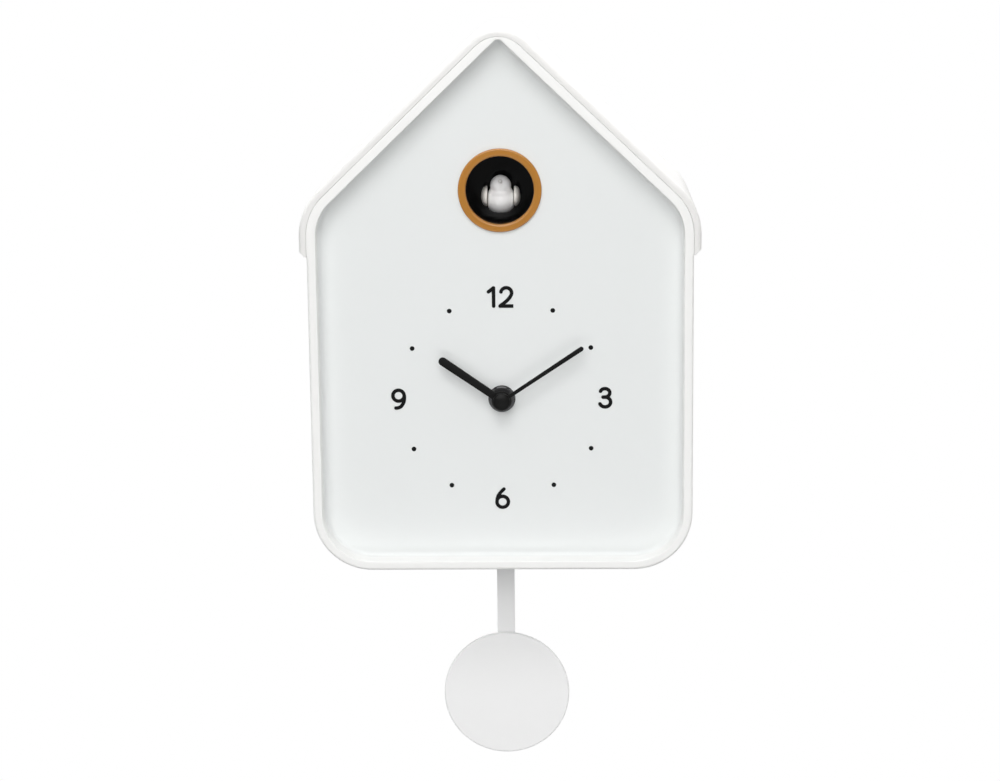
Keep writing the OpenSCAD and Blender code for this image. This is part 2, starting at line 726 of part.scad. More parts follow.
module movement_lid() {
    color("black") difference() {
        slab(lid_y, lid_y + 2) plate_2d(centre_c, movement_w, movement_w, 4);
        for (c = [centre_c, third_c, seconds_c, fifth_c, rotor_c])
            rod_y(c[0], c[1], lid_y - 1, lid_y + pivot_deep, pivot_r + fit);
        rod_y(motion_c[0], motion_c[1], lid_y - 1, lid_y + 3, 1 + fit);
    }
}

module dial_washer() {
    color("dimgray") difference() {
        rod_y(0, dial_z, face_y - 0.6, face_y, nut_r + 0.3);
        rod_y(0, dial_z, face_y - 1, face_y + 1, neck_r + 0.1);
    }
}

// Round nut with notches for a spanner
module dial_nut() {
    color("gray") difference() {
        rod_y(0, dial_z, face_y - 2.8, face_y - 0.6, nut_r);
        rod_y(0, dial_z, face_y - 4, face_y, neck_r + 0.02);
        for (a = [0 : 60 : 300])
            translate([0, 0, dial_z]) rotate([0, a, 0])
                block([nut_r - 0.7, face_y - 4, -0.9], [nut_r + 1, face_y - 1.4, 0.9]);
    }
}

// Hand that tapers from its tip to its hub, pointing up before it is turned
module hand(y, l, w_tip, w_root, hub_r, hole_r, turn) {
    r = w_tip / 2;
    color([0.1, 0.1, 0.1]) translate([0, 0, dial_z]) rotate([0, turn, 0]) difference() {
        slab(y - hand_t, y) union() {
            polygon([[-w_root / 2, 0], [w_root / 2, 0], [r, l - r], [-r, l - r]]);
            translate([0, l - r]) circle(r);
            circle(hub_r);
        }
        rod_y(0, 0, y - hand_t - 1, y + 1, hole_r);
    }
}

module hour_hand() {
    hand(hour_hand_y, hour_hand_l, hour_hand_w, hour_hand_w - 0.5, 5.4, tube_r, hour_turn);
}
module minute_hand() {
    hand(minute_hand_y, minute_hand_l, minute_hand_w, minute_hand_w - 0.6, 4.6, arbor_r, minute_turn);
}

// Domed cap pressed on the end of the minute arbor
module hand_cap() {
    color([0.1, 0.1, 0.1]) translate([0, cap_y, dial_z]) rotate([90, 0, 0]) rotate_extrude()
        polygon(concat([[0, 0], [cap_r, 0], [cap_r, 1]],
                       [for (a = [15 : 15 : 90]) [cap_r * cos(a), 1 + 1.5 * sin(a)]]));
}

module hour_wheel() {
    turn = mesh_turn(-45, minute_pinion_n, 0, hour_n);
    color("ivory") difference() {
        union() {
            gear_y(centre_c, hour_y, hour_y + wheel_t, hour_n, hour_m, turn);
            rod_y(0, dial_z, hour_hand_y - hand_t, hour_y + wheel_t, tube_r);
        }
        rod_y(0, dial_z, hour_hand_y - 3, hour_y + 3, arbor_r + fit);
    }
}

// Arbor with the cannon pinion and the wheel that the train drives
module centre_wheel() {
    turn = mesh_turn(-45, minute_n, 0, cannon_n);
    color("gold") union() {
        gear_y(centre_c, minute_y - 0.4, minute_y + 1.4, cannon_n, motion_m, turn);
        gear_y(centre_c, centre_y, centre_y + wheel_t, centre_n, centre_m, 0);
        rod_y(0, dial_z, cap_y, centre_y + 2, arbor_r);
        rod_y(0, dial_z, cap_y, lid_y + pivot_deep - 0.1, pivot_r);
    }
}

module minute_wheel() {
    color("ivory") union() {
        gear_y(motion_c, minute_y, minute_y + wheel_t, minute_n, motion_m, 0);
        gear_y(motion_c, hour_y - 0.2, minute_y + 0.2, minute_pinion_n, hour_m, 0);
        rod_y(motion_c[0], motion_c[1], face_back + case_t - pivot_deep + 0.1, minute_y, pivot_r);
        rod_y(motion_c[0], motion_c[1], minute_y, lid_y + 2.4, 1);
    }
}

// Setting knob with a long stem, so that it can be reached from behind
module setting_knob() {
    stem_y = lid_y + 2.4;
    color("dimgray") union() {
        rod_y(motion_c[0], motion_c[1], stem_y, cover_y - 4, 2);
        difference() {
            rod_y(motion_c[0], motion_c[1], cover_y - 4.4, -1, knob_r);
            for (a = [0 : 30 : 330])
                translate([motion_c[0], 0, motion_c[1]]) rotate([0, a, 0])
                    rod_y(knob_r + 0.5, 0, cover_y - 6, 1, 1);
        }
    }
}

// Arbor through the whole movement with a pivot at each end
module train_arbor(c) {
    rod_y(c[0], c[1], face_back + case_t - pivot_deep + 0.1, lid_y + pivot_deep - 0.1, pivot_r);
}

// One wheel of the train, n teeth, with the pinion that the wheel in front of it drives
module train_wheel(c, wheel_y, n, front_y, pinion_n, pinion_m, way, front_n) {
    color("ivory") union() {
        gear_y(c, wheel_y, wheel_y + wheel_t, n, train_m, 0);
        gear_y(c, front_y - 0.2, wheel_y, pinion_n, pinion_m, mesh_turn(way, front_n, 0, pinion_n));
        rod_y(c[0], c[1], front_y - 0.2, wheel_y + wheel_t, 0.7);
        train_arbor(c);
    }
}

module third_wheel() {
    train_wheel(third_c, third_y, third_n, centre_y, small_n, centre_m, third_way, centre_n);
}
module seconds_wheel() {
    train_wheel(seconds_c, seconds_y, seconds_n, third_y, small_n, train_m, seconds_way, third_n);
}
module fifth_wheel() {
    train_wheel(fifth_c, fifth_y, fifth_n, seconds_y, fast_n, train_m, fifth_way, seconds_n);
}

rotor_r = 3;
rotor_y = third_y - 1.5;
module rotor() {
    turn = mesh_turn(rotor_way, fifth_n, 0, fast_n);
    color("slategray") union() {
        gear_y(rotor_c, fifth_y - 0.2, fifth_y + wheel_t + 0.2, fast_n, train_m, turn);
        rod_y(rotor_c[0], rotor_c[1], rotor_y, rotor_y + 4, rotor_r);
        rod_y(rotor_c[0], rotor_c[1], rotor_y, fifth_y, 0.7);
        train_arbor(rotor_c);
    }
}

// Iron plate around the rotor, and the coil that stands beside it
coil_x = case_t + 6 - movement_w / 2;
coil_l = 18;
coil_y = third_y + 1.4;
coil_z = rotor_c[1];
module stator() {
    y = third_y + 1;
    color("silver") difference() {
        slab(y, y + 0.8) union() {
            translate(rotor_c) circle(rotor_r + 2.2);
            translate([coil_x - 2, coil_z - coil_l / 2 - 3.4]) square([rotor_c[0] - coil_x + 2, 3]);
            translate([coil_x - 2, coil_z + coil_l / 2 + 0.4]) square([rotor_c[0] - coil_x + 2, 3]);
            translate([rotor_c[0] - 2, coil_z - coil_l / 2 - 3.4]) square([4, coil_l + 6.8]);
        }
        rod_y(rotor_c[0], rotor_c[1], y - 1, y + 2, rotor_r + 0.5);
    }
}

module stepper_coil() {
    color("chocolate") union() {
        translate([coil_x, coil_y, coil_z - coil_l / 2]) cylinder(h = coil_l, r = 3);
        for (s = [-1, 1])
            translate([coil_x, coil_y, coil_z + s * coil_l / 2]) cylinder(h = 0.8, r = 3.6, center = true);
    }
}

module movement_board() {
    c = centre_c + [14, 15];
    y = fifth_y - 0.6;
    color("green") union() {
        slab(y, y + 0.8) translate(c - [10, 9]) square([20, 18]);
        rod_y(c[0] - 4, c[1] + 3, y - 1.4, y, 3);
        translate([c[0] + 6, y - 1.5, c[1] - 4]) cylinder(h = 8, r = 1.5);
        block([c[0] - 8, y - 1.2, c[1] - 8], [c[0] + 2, y, c[1] - 3]);
    }
}

// ---- pendulum and its driver ---------------------------------------------------------

pin_r = 1.5;
pin_y1 = rod_y0 + rod_t + 2;
magnet_z = pivot_z - 17;
magnet_r = 5;
hook_z = pivot_z - 32;
bob_z = pivot_z - pendulum_l;
clip_y = pin_y1 - 1.2;

module driver_case() {
    t = 1.5;
    color("black") difference() {
        union() {
            block([-driver_w / 2, driver_y0, driver_low], [driver_w / 2, driver_y1, driver_top]);
            slab(driver_y0, driver_y0 + 2) plate_2d([0, pivot_z - 15], driver_w + 20.8, 9, 2);
        }
        block([t - driver_w / 2, driver_y0 - 1, driver_low + t],
              [driver_w / 2 - t, driver_y1 - t, driver_top - t]);
        rod_y(0, pivot_z, driver_y1 - t - 1, driver_y1 + 1, pin_r);
        for (p = DRIVER_POSTS) rod_y(p[0], p[1], driver_y0 - 1, driver_y0 + 3, 1.3);
    }
}

module driver_lid() {
    g = 1.6;
    color("black") block([g - driver_w / 2, driver_y0, driver_low + g],
                         [driver_w / 2 - g, driver_y0 + 1.2, driver_top - g]);
}

module driver_board() {
    y = driver_y0 + 2.4;
    color("green") union() {
        slab(y, y + 1) translate([-driver_w / 2 + 3, driver_low + 3]) square([driver_w - 6, 30]);
        block([8, y + 1, magnet_z - 4], [15, y + 2.6, magnet_z + 4]);
        rod_y(-14, magnet_z + 4, y + 1, y + 6, 2.5);
    }
}

module pendulum_coil() {
    y0 = driver_y0 + 3.4;
    color("chocolate") difference() {
        union() {
            rod_y(0, magnet_z, y0, driver_y1 - 1.6, 7);
            rod_y(0, magnet_z, driver_y1 - 2.4, driver_y1 - 1.6, 8);
        }
        rod_y(0, magnet_z, y0 + 1, driver_y1, 2);
    }
}

module driver_screws() {
    color("silver") for (p = DRIVER_POSTS)
        facing(p[0], driver_y0 + 2, p[1], 1) screw(post_hole_r - 0.02, 9, 2.3, 1.5);
}

module pivot_pin() {
    color("silver") difference() {
        union() {
            rod_y(0, pivot_z, driver_y1 - 4, pin_y1, pin_r - 0.01);
            rod_y(0, pivot_z, driver_y1 - 4, driver_y1 - 1.6, pin_r + 1);
        }
        difference() {
            rod_y(0, pivot_z, clip_y, clip_y + 0.6, pin_r + 1);
            rod_y(0, pivot_z, clip_y - 1, clip_y + 1, pin_r - 0.4);
        }
    }
}

module pivot_clip() {
    color("dimgray") difference() {
        rod_y(0, pivot_z, clip_y + 0.05, clip_y + 0.55, 3.2);
        rod_y(0, pivot_z, clip_y - 1, clip_y + 1, pin_r - 0.35);
        block([-0.8, clip_y - 1, pivot_z - 5], [0.8, clip_y + 1, pivot_z]);
    }
}

// Swinging arm with a seat for the magnet and a hook pin for the rod
module pendulum_arm() {
    color("dimgray") difference() {
        union() {
            slab(arm_y, arm_y + 2) union() {
                translate([0, pivot_z]) circle(4.2);
                translate([0, magnet_z]) circle(magnet_r + 1.6);
                translate([-3.2, hook_z]) square([6.4, pivot_z - hook_z]);
                translate([0, hook_z]) circle(3.2);
            }
            rod_y(0, pivot_z, arm_y, clip_y - 0.3, 3.4);
            rod_y(0, hook_z, arm_y, rod_y0 + rod_t + 1.4, 1.5);
        }
        rod_y(0, pivot_z, arm_y - 1, clip_y + 1, pin_r + fit);
        rod_y(0, magnet_z, arm_y - 1, arm_y + 1.2, magnet_r);
    }
}

module pendulum_magnet() {
    color("silver") rod_y(0, magnet_z, arm_y - 0.6, arm_y + 1.2, magnet_r - 0.02);
}

module pendulum_rod() {
    color("gainsboro") difference() {
        slab(rod_y0, rod_y0 + rod_t) union() {
            translate([-rod_w / 2, bob_z]) square([rod_w, hook_z - bob_z]);
            translate([0, hook_z]) circle(rod_w / 2);
        }
        rod_y(0, hook_z, rod_y0 - 1, rod_y0 + rod_t + 1, 1.5 + fit);
    }
}

// Disc in front of the rod, with two ribs and a stop that hold the rod behind it
module pendulum_bob() {
    color("gainsboro") union() {
        rod_y(0, bob_z, rod_y0 - bob_t, rod_y0, bob_d / 2);
        for (s = [-1, 1])
            block([s > 0 ? rod_w / 2 + 0.05 : -rod_w / 2 - 1.65, rod_y0 - 1, bob_z - 6],
                  [s > 0 ? rod_w / 2 + 1.65 : -rod_w / 2 - 0.05, rod_y0 + rod_t, bob_z + 16]);
        block([-rod_w / 2 - 1.65, rod_y0 - 1, bob_z - 6], [rod_w / 2 + 1.65, rod_y0 + rod_t, bob_z - 0.05]);
    }
}

// ---- electronics ---------------------------------------------------------------------

module main_board() {
    color("green") difference() {
        slab(board_y - board_t, board_y)
            translate([board_x - board_w / 2, board_z - board_h / 2]) square([board_w, board_h]);
        for (p = BOARD_POSTS) rod_y(p[0], p[1], board_y - 3, board_y + 1, 1.1);
    }
}

// Chips, capacitors and connectors in front of the board, the two switches behind it
module board_parts() {
    f = board_y - board_t;
    color([0.15, 0.15, 0.17]) union() {
        block([board_x - 6, f - 2, board_z - 8], [board_x + 8, f, board_z + 6]);
        block([board_x - 24, f - 1.5, board_z - 4], [board_x - 16, f, board_z + 4]);
        for (x = [0 : 3]) block([board_x - 22 + 12 * x, f - 5, board_z - board_h / 2 + 1.5],
                                [board_x - 13 + 12 * x, f, board_z - board_h / 2 + 6.5]);
        for (x = [-18, -8, 20]) rod_y(board_x + x, board_z + 16, f - 9, f, 3.2);
        rod_y(board_x + 20, board_z - 4, f - 6, f, 4);
        // switch under the slider
        difference() {
            block([slider_x - 9, board_y, slider_z - 3.6], [slider_x + 9, board_y + 4, slider_z + 3.6]);
            block([slider_x - 6.6, board_y + 1, slider_z - 1.4],
                  [slider_x + 6.6, board_y + 5, slider_z + 1.4]);
        }
        // switch under the button
        difference() {
            block([button_x - 3.5, board_y, button_z - 3.5], [button_x + 3.5, board_y + 3, button_z + 3.5]);
            rod_y(button_x, button_z, board_y + 0.8, board_y + 4, 1.8);
        }
    }
}

module board_screws() {
    color("silver") for (p = BOARD_POSTS)
        facing(p[0], board_y - board_t, p[1], -1) screw(0.88, 6, 1.9, 1.2);
}

module volume_slider() {
    color("dimgray") union() {
        block([slider_x - 2.2, board_y + 1.4, slider_z - 1], [slider_x + 2.2, board_y + 4.6, slider_z + 1]);
        block([slider_x - 3, board_y + 4.6, slider_z - 1.9], [slider_x + 3, -0.5, slider_z + 1.9]);
        block([slider_x - 4, cover_y - 1.8, slider_z - 3.6],
              [slider_x + 4, cover_y - move_gap, slider_z + 3.6]);
    }
}

module test_button() {
    color("dimgray") union() {
        rod_y(button_x, button_z, board_y + 0.8 + button_travel + 0.4, board_y + 5, 1.4);
        rod_y(button_x, button_z, board_y + 4.6, -0.4, button_r);
        rod_y(button_x, button_z, cover_y - 1.8, cover_y - move_gap, button_r + 1.2);
    }
}

module speaker() {
    color("dimgray") translate([speaker_x, cover_y - 0.1, speaker_z]) rotate([90, 0, 0]) difference() {
        rotate_extrude() polygon([
            [0, 1], [speaker_r * 0.4, 3], [speaker_r * 0.9, 1], [speaker_r * 0.9, 0], [speaker_r, 0],
            [speaker_r, 1.6], [speaker_r * 0.9, 2.4], [speaker_r * 0.5, 8.5], [speaker_r * 0.5, 12],
            [speaker_r * 0.44, 13.5], [0, 13.5]
        ]);
    }
}

CELLS = [for (i = [-1 : 1]) [i, bay_z + i * (2 * cell_r + 0.9), i == 0 ? -1 : 1]];
cell_y = cover_y - cell_r - 0.4;
bay_end = bay_l / 2 - 0.6;
nub_l = 1.2;

module battery_cells() {
    color("silver") for (c = CELLS) translate([bay_x, cell_y, c[1]]) rotate([0, 90 * c[2], 0]) union() {
        translate([0, 0, bay_end - nub_l - cell_l]) cylinder(h = cell_l, r = cell_r);
        translate([0, 0, bay_end - nub_l]) cylinder(h = nub_l, r = 2.7);
    }
}

// Ring of a swept wire: corner points around p, square to the direction t
function ring_at(p, t, r, n) =
    let (d = t / norm(t),
         across = cross(d, abs(d[2]) < 0.8 ? [0, 0, 1] : [1, 0, 0]),
         u = across / norm(across),
         v = cross(d, u))
    [for (k = [0 : n - 1]) p + r * (cos(k * 360 / n) * u + sin(k * 360 / n) * v)];

// Round wire along a list of points
module wire(path, r, n) {
    last = len(path) - 1;
    rings = [for (i = [0 : last])
        each ring_at(path[i], path[min(i + 1, last)] - path[max(i - 1, 0)], r, n)];
    sides = [for (i = [0 : last - 1], k = [0 : n - 1])
        [i * n + k, (i + 1) * n + k, (i + 1) * n + (k + 1) % n, i * n + (k + 1) % n]];
    start = [for (k = [0 : n - 1]) k];
    end = [for (k = [n - 1 : -1 : 0]) last * n + k];
    polyhedron(points = rings, faces = concat([start], sides, [end]));
}

// Points of a smooth curve that leaves p[0] towards p[1] and reaches p[3] from p[2]
function curve(p, steps) =
    [for (i = [0 : steps])
        let (t = i / steps, s = 1 - t)
        s * s * s * p[0] + 3 * s * s * t * p[1] + 3 * s * t * t * p[2] + t * t * t * p[3]];

// Flat plates at the ends of the cells and a coil spring at each flat end
module battery_contacts() {
    spring_l = 2 * bay_end - nub_l - cell_l;
    turns = 3;
    color("silver") union() {
        for (c = CELLS, s = [-1, 1])
            block([bay_x + (s > 0 ? bay_end : -bay_end - 0.4), cell_y - 5, c[1] - 5],
                  [bay_x + (s > 0 ? bay_end + 0.4 : -bay_end), cell_y + 5, c[1] + 5]);
        for (c = CELLS) translate([bay_x, cell_y, c[1]]) rotate([0, -90 * c[2], 0])
            wire([for (i = [0 : 36]) let (a = i * 360 * turns / 36, r = 4.2 - 1.2 * (1 - i / 36))
                [r * cos(a), r * sin(a), bay_end - 0.5 - (spring_l - 1) * (1 - i / 36)]], 0.35, 6);
    }
}

// Internal leads, each from a fixed part to a plug on the board
wire_r = 0.6;
wire_gap = 0.3;
plug_y = board_y - board_t - 5 - wire_gap;
plug_z = board_z - board_h / 2 + 4;

// Last two points of a lead that comes to the plug at x, dy in front of it and dz off
function to_plug(x, dy, dz) = [[board_x + x, plug_y - dy, plug_z + dz], [board_x + x, plug_y, plug_z]];

module wires() {
    bay = [bay_x - bay_l / 2 - bay_wall - wire_gap, bay_floor + 3, bay_z];
    magnet = [speaker_x, cover_y - 13.6 - wire_gap, speaker_z];
    motor = [frame_x0 - wire_gap, pinion_y, motor_z];
    driver = [-driver_w / 2 - wire_gap, driver_y0 + 7, magnet_z + 6];
    color("firebrick") union() {
        wire(curve(concat([bay, bay + [-20, -6, 0]], to_plug(18.5, 14, 0)), 16), wire_r, 8);
        wire(curve(concat([magnet, magnet + [0, -14, 0]], to_plug(-17.5, 14, 0)), 16), wire_r, 8);
        wire(curve(concat([motor, motor + [-28, -4, -20]], to_plug(6.5, 18, 5)), 20), wire_r, 8);
        wire(curve(concat([driver, driver + [-24, 0, 0]], to_plug(-5.5, 28, 0)), 20), wire_r, 8);
    }
}

// ---- assembly ------------------------------------------------------------------------

front_shell();
roof_cover();
back_cover();
battery_door();
cover_screws();
roof_screws();
opening_ring();
niche_sleeve();
niche_backplate();
niche_screws();
light_sensor();
bird_body();
bird_beak();
bird_wing_left();
bird_wing_right();
bird_carriage();
bird_rail();
mechanism_frame();
mechanism_screws();
bird_drive_gear();
bird_motor();
motor_pinion();
movement_case();
movement_lid();
dial_washer();
dial_nut();
hour_hand();
minute_hand();
hand_cap();
hour_wheel();
centre_wheel();
minute_wheel();
setting_knob();
third_wheel();
seconds_wheel();
fifth_wheel();
rotor();
stator();
stepper_coil();
movement_board();
driver_case();
driver_lid();
driver_board();
pendulum_coil();
driver_screws();
pivot_pin();
pivot_clip();
pendulum_arm();
pendulum_magnet();
pendulum_rod();
pendulum_bob();
main_board();
board_parts();
board_screws();
speaker();
battery_cells();
battery_contacts();
volume_slider();
test_button();
wires();
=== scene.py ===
import math

import bmesh
import bpy
from mathutils import Matrix, Vector
from mathutils.geometry import tessellate_polygon


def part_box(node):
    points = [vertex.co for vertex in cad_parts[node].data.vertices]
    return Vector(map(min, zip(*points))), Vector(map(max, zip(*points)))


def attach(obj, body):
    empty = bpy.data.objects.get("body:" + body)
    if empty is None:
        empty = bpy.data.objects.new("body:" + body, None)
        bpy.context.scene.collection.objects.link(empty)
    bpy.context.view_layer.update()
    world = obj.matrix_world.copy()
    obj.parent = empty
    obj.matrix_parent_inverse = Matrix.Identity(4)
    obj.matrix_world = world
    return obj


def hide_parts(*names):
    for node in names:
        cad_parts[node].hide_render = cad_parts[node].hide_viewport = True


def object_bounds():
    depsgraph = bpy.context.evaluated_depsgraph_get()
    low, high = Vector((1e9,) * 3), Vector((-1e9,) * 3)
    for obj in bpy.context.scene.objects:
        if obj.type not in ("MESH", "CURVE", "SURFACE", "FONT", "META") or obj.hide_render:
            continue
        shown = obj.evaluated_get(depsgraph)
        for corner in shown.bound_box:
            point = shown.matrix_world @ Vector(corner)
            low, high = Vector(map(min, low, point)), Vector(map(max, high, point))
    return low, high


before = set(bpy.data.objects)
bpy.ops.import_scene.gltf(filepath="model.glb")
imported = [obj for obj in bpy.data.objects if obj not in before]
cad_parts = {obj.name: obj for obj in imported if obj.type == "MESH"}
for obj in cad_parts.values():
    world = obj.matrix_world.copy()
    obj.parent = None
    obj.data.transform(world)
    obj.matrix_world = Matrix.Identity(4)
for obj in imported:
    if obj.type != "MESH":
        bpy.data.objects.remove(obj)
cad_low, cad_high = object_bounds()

# ---- Set: floor, light and camera ------------------------------------------------------
# A plain pale floor well below the clock, a white room, three large soft lights in front,
# one overhead and one on each side. They light the clock and are no part of it.

floor_mesh = bpy.data.meshes.new("floor")
floor_mesh.from_pydata([(-30, -30, -0.8), (30, -30, -0.8), (30, 60, -0.8), (-30, 60, -0.8)],
                       [], [(0, 1, 2, 3)])
floor = bpy.data.objects.new("floor", floor_mesh)
bpy.context.scene.collection.objects.link(floor)
floor_paint = bpy.data.materials.new("pale_floor")
floor_paint.use_nodes = True
floor_shader = floor_paint.node_tree.nodes["Principled BSDF"]
floor_shader.inputs["Base Color"].default_value = (0.22, 0.22, 0.22, 1)
floor_shader.inputs["Roughness"].default_value = 0.9
bright = floor_paint.node_tree.nodes.new("ShaderNodeEmission")
bright.inputs["Color"].default_value = (1, 1, 1, 1)
bright.inputs["Strength"].default_value = 1.0
floor_rays = floor_paint.node_tree.nodes.new("ShaderNodeLightPath")
floor_pick = floor_paint.node_tree.nodes.new("ShaderNodeMixShader")
floor_paint.node_tree.links.new(floor_rays.outputs["Is Camera Ray"], floor_pick.inputs[0])
floor_paint.node_tree.links.new(floor_shader.outputs[0], floor_pick.inputs[1])
floor_paint.node_tree.links.new(bright.outputs[0], floor_pick.inputs[2])
floor_paint.node_tree.links.new(floor_pick.outputs[0],
                                floor_paint.node_tree.nodes["Material Output"].inputs["Surface"])
floor_mesh.materials.append(floor_paint)

# the room is white all round but dim in front, where the camera stands, so that the black
# parts stay black
world = bpy.data.worlds.new("white_room")
bpy.context.scene.world = world
world.use_nodes = True
nodes, links = world.node_tree.nodes, world.node_tree.links
room = nodes["Background"]
room.inputs["Color"].default_value = (1, 1, 1, 1)
heading = nodes.new("ShaderNodeTexCoord")
axes = nodes.new("ShaderNodeSeparateXYZ")
links.new(heading.outputs["Generated"], axes.inputs[0])
glow = nodes.new("ShaderNodeMapRange")
glow.interpolation_type = "SMOOTHSTEP"
for key, value in (("From Min", -0.92), ("From Max", 0.2), ("To Min", 0.04), ("To Max", 0.95)):
    glow.inputs[key].default_value = value
links.new(axes.outputs["Y"], glow.inputs["Value"])
links.new(glow.outputs["Result"], room.inputs["Strength"])
seen = nodes.new("ShaderNodeBackground")
seen.inputs["Color"].default_value = (1, 1, 1, 1)
seen.inputs["Strength"].default_value = 1.0
rays = nodes.new("ShaderNodeLightPath")
pick = nodes.new("ShaderNodeMixShader")
links.new(rays.outputs["Is Camera Ray"], pick.inputs[0])
links.new(room.outputs[0], pick.inputs[1])
links.new(seen.outputs[0], pick.inputs[2])
links.new(pick.outputs[0], nodes["World Output"].inputs["Surface"])

for lamp_name, spot, width, height, watts in [
        ("key_light", (-0.18, -2.0, 0.66), 1.9, 0.9, 19.5),
        ("high_light", (-0.1, -1.45, 1.5), 1.3, 0.7, 16.0),
        ("low_light", (0.1, -1.15, -0.72), 1.4, 0.4, 3.2),
        ("top_light", (0.0, 1.0, 1.9), 3.0, 1.6, 46.0),
        ("left_light", (-2.2, -1.1, 0.3), 1.2, 1.6, 1.8),
        ("right_light", (2.2, -1.1, 0.3), 1.2, 1.6, 3.0)]:
    lamp_data = bpy.data.lights.new(lamp_name, "AREA")
    lamp_data.shape = "RECTANGLE"
    lamp_data.size = width
    lamp_data.size_y = height
    lamp_data.energy = watts
    lamp = bpy.data.objects.new(lamp_name, lamp_data)
    lamp.location = spot
    lamp.rotation_mode = "QUATERNION"
    lamp.rotation_quaternion = (Vector((0, -0.08, -0.15)) - Vector(spot)).to_track_quat("-Z", "Y")
    bpy.context.scene.collection.objects.link(lamp)

look_azimuth, look_elevation, look_roll = math.radians(1.67), math.radians(11.68), math.radians(-0.63)
look_at = Vector((-0.00066, cad_low.y, -0.14803))
back = Vector((math.sin(look_azimuth) * math.cos(look_elevation),
               -math.cos(look_azimuth) * math.cos(look_elevation), math.sin(look_elevation)))
level = (-back).cross(Vector((0, 0, 1))).normalized()
upright = level.cross(-back)
right = level * math.cos(look_roll) + upright * math.sin(look_roll)
up = upright * math.cos(look_roll) - level * math.sin(look_roll)
camera_data = bpy.data.cameras.new("camera")
camera_data.sensor_width = 36.0
camera_data.lens = 86.3
camera_data.clip_start, camera_data.clip_end = 0.05, 200.0
camera = bpy.data.objects.new("camera", camera_data)
camera.matrix_world = (Matrix.Translation(look_at + back * 1.300)
                       @ Matrix((right, up, back)).transposed().to_4x4())
bpy.context.scene.collection.objects.link(camera)
bpy.context.scene.camera = camera
bpy.context.scene.view_settings.view_transform = "Standard"

# ---- House: the one-piece moulded front and walls --------------------------------------
# An injection-moulded white shell: side walls, bottom, slopes under the roof cover, a flat
# front rim and a face set back behind it. Posts and bosses for its screws are moulded on.

roof_w, ridge_r, eave_r, corner_r, slope = 216.0, 21.0, 34.0, 32.0, math.radians(43.7)
roof_t, rim_w, rim_ridge_t, wall_t, eave_drop = 4.0, 5.0, 1.5, 3.0, 11.0
recess_d, face_t = 12.0, 2.5
under_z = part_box("front_shell")[0].z * 1000
rim_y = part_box("front_shell")[0].y * 1000
ridge_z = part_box("roof_cover")[1].z * 1000
face_y, face_back = rim_y + recess_d, rim_y + recess_d + face_t
nut_low, nut_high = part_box("dial_nut")
dial_z = (nut_low.z + nut_high.z) * 500
ring_low, ring_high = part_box("opening_ring")
cuckoo_z = (ring_low.z + ring_high.z) * 500
ridge_sharp = ridge_z + ridge_r * (1 / math.cos(slope) - 1)
eave_x = roof_w / 2 - eave_r
eave_mid = (eave_x, ridge_sharp - eave_x * math.tan(slope) - eave_r / math.cos(slope))
recess_ridge_r = ((ridge_sharp - (roof_t + rim_w) / math.cos(slope) - ridge_z + roof_t + rim_ridge_t)
                  / (1 / math.cos(slope) - 1))


def bend(x, z, r, start, stop, steps=24):
    """Points of an arc round (x, z), its angles in degrees."""
    return [(x + r * math.cos(math.radians(start + (stop - start) * i / steps)),
             z + r * math.sin(math.radians(start + (stop - start) * i / steps)))
            for i in range(steps + 1)]


def roof_edge(inset, top_r=None):
    """Right eave, over the ridge, to the left eave, inset from the roof's outer face."""
    steep = 90 - math.degrees(slope)
    top_r = ridge_r - inset if top_r is None else top_r
    return (bend(eave_mid[0], eave_mid[1], eave_r - inset, 0, steep)
            + bend(0, ridge_sharp - (inset + top_r) / math.cos(slope), top_r, steep, 180 - steep)
            + bend(-eave_mid[0], eave_mid[1], eave_r - inset, 180 - steep, 180))


def house_edge(inset, top_r=None):
    """Whole outline of the house, inset from the roof's outer face, with two extra points on
    each side wall where the roof cover ends."""
    half, r = roof_w / 2 - inset, corner_r - (inset - roof_t)
    z, cover_end = under_z + corner_r, eave_mid[1] - eave_drop
    return (bend(half - r, z, r, -90, 0) + [(half, cover_end - 1.0), (half, cover_end + 2.0)]
            + roof_edge(inset, top_r)
            + [(-half, cover_end + 2.0), (-half, cover_end - 1.0)] + bend(r - half, z, r, 180, 270))


def rounding(o, y, r, start, stop, steps=6):
    """Points of a rounded edge in a section, round (o, y)."""
    return [(o + r * math.cos(math.radians(start + (stop - start) * i / steps)),
             y + r * math.sin(math.radians(start + (stop - start) * i / steps)))
            for i in range(steps + 1)]


def make_piece(name, points, faces, crease=32):
    """Mesh object from points in millimetres, closed up, facing outwards."""
    mesh = bpy.data.meshes.new(name)
    mesh.from_pydata([(x / 1000, y / 1000, z / 1000) for x, y, z in points], [], faces)
    bm = bmesh.new()
    bm.from_mesh(mesh)
    bmesh.ops.remove_doubles(bm, verts=bm.verts, dist=2e-6)
    bmesh.ops.dissolve_degenerate(bm, edges=bm.edges, dist=1e-7)
    bmesh.ops.recalc_face_normals(bm, faces=bm.faces)
    bm.to_mesh(mesh)
    bm.free()
    mesh.shade_smooth()
    mesh.set_sharp_from_angle(angle=math.radians(crease))
    piece = bpy.data.objects.new(name, mesh)
    bpy.context.scene.collection.objects.link(piece)
    return piece


def turned(name, profile, x, z, steps=96, closed=False, crease=32):
    """Piece turned about an axis along Y through (x, z); the profile is (radius, y)."""
    points = [(x + r * math.cos(2 * math.pi * k / steps), y, z + r * math.sin(2 * math.pi * k / steps))
              for r, y in profile for k in range(steps)]
    count = len(profile)
    faces = [(i * steps + k, i * steps + (k + 1) % steps,
              ((i + 1) % count) * steps + (k + 1) % steps, ((i + 1) % count) * steps + k)
             for i in range(count if closed else count - 1) for k in range(steps)]
    return make_piece(name, points, faces, crease)


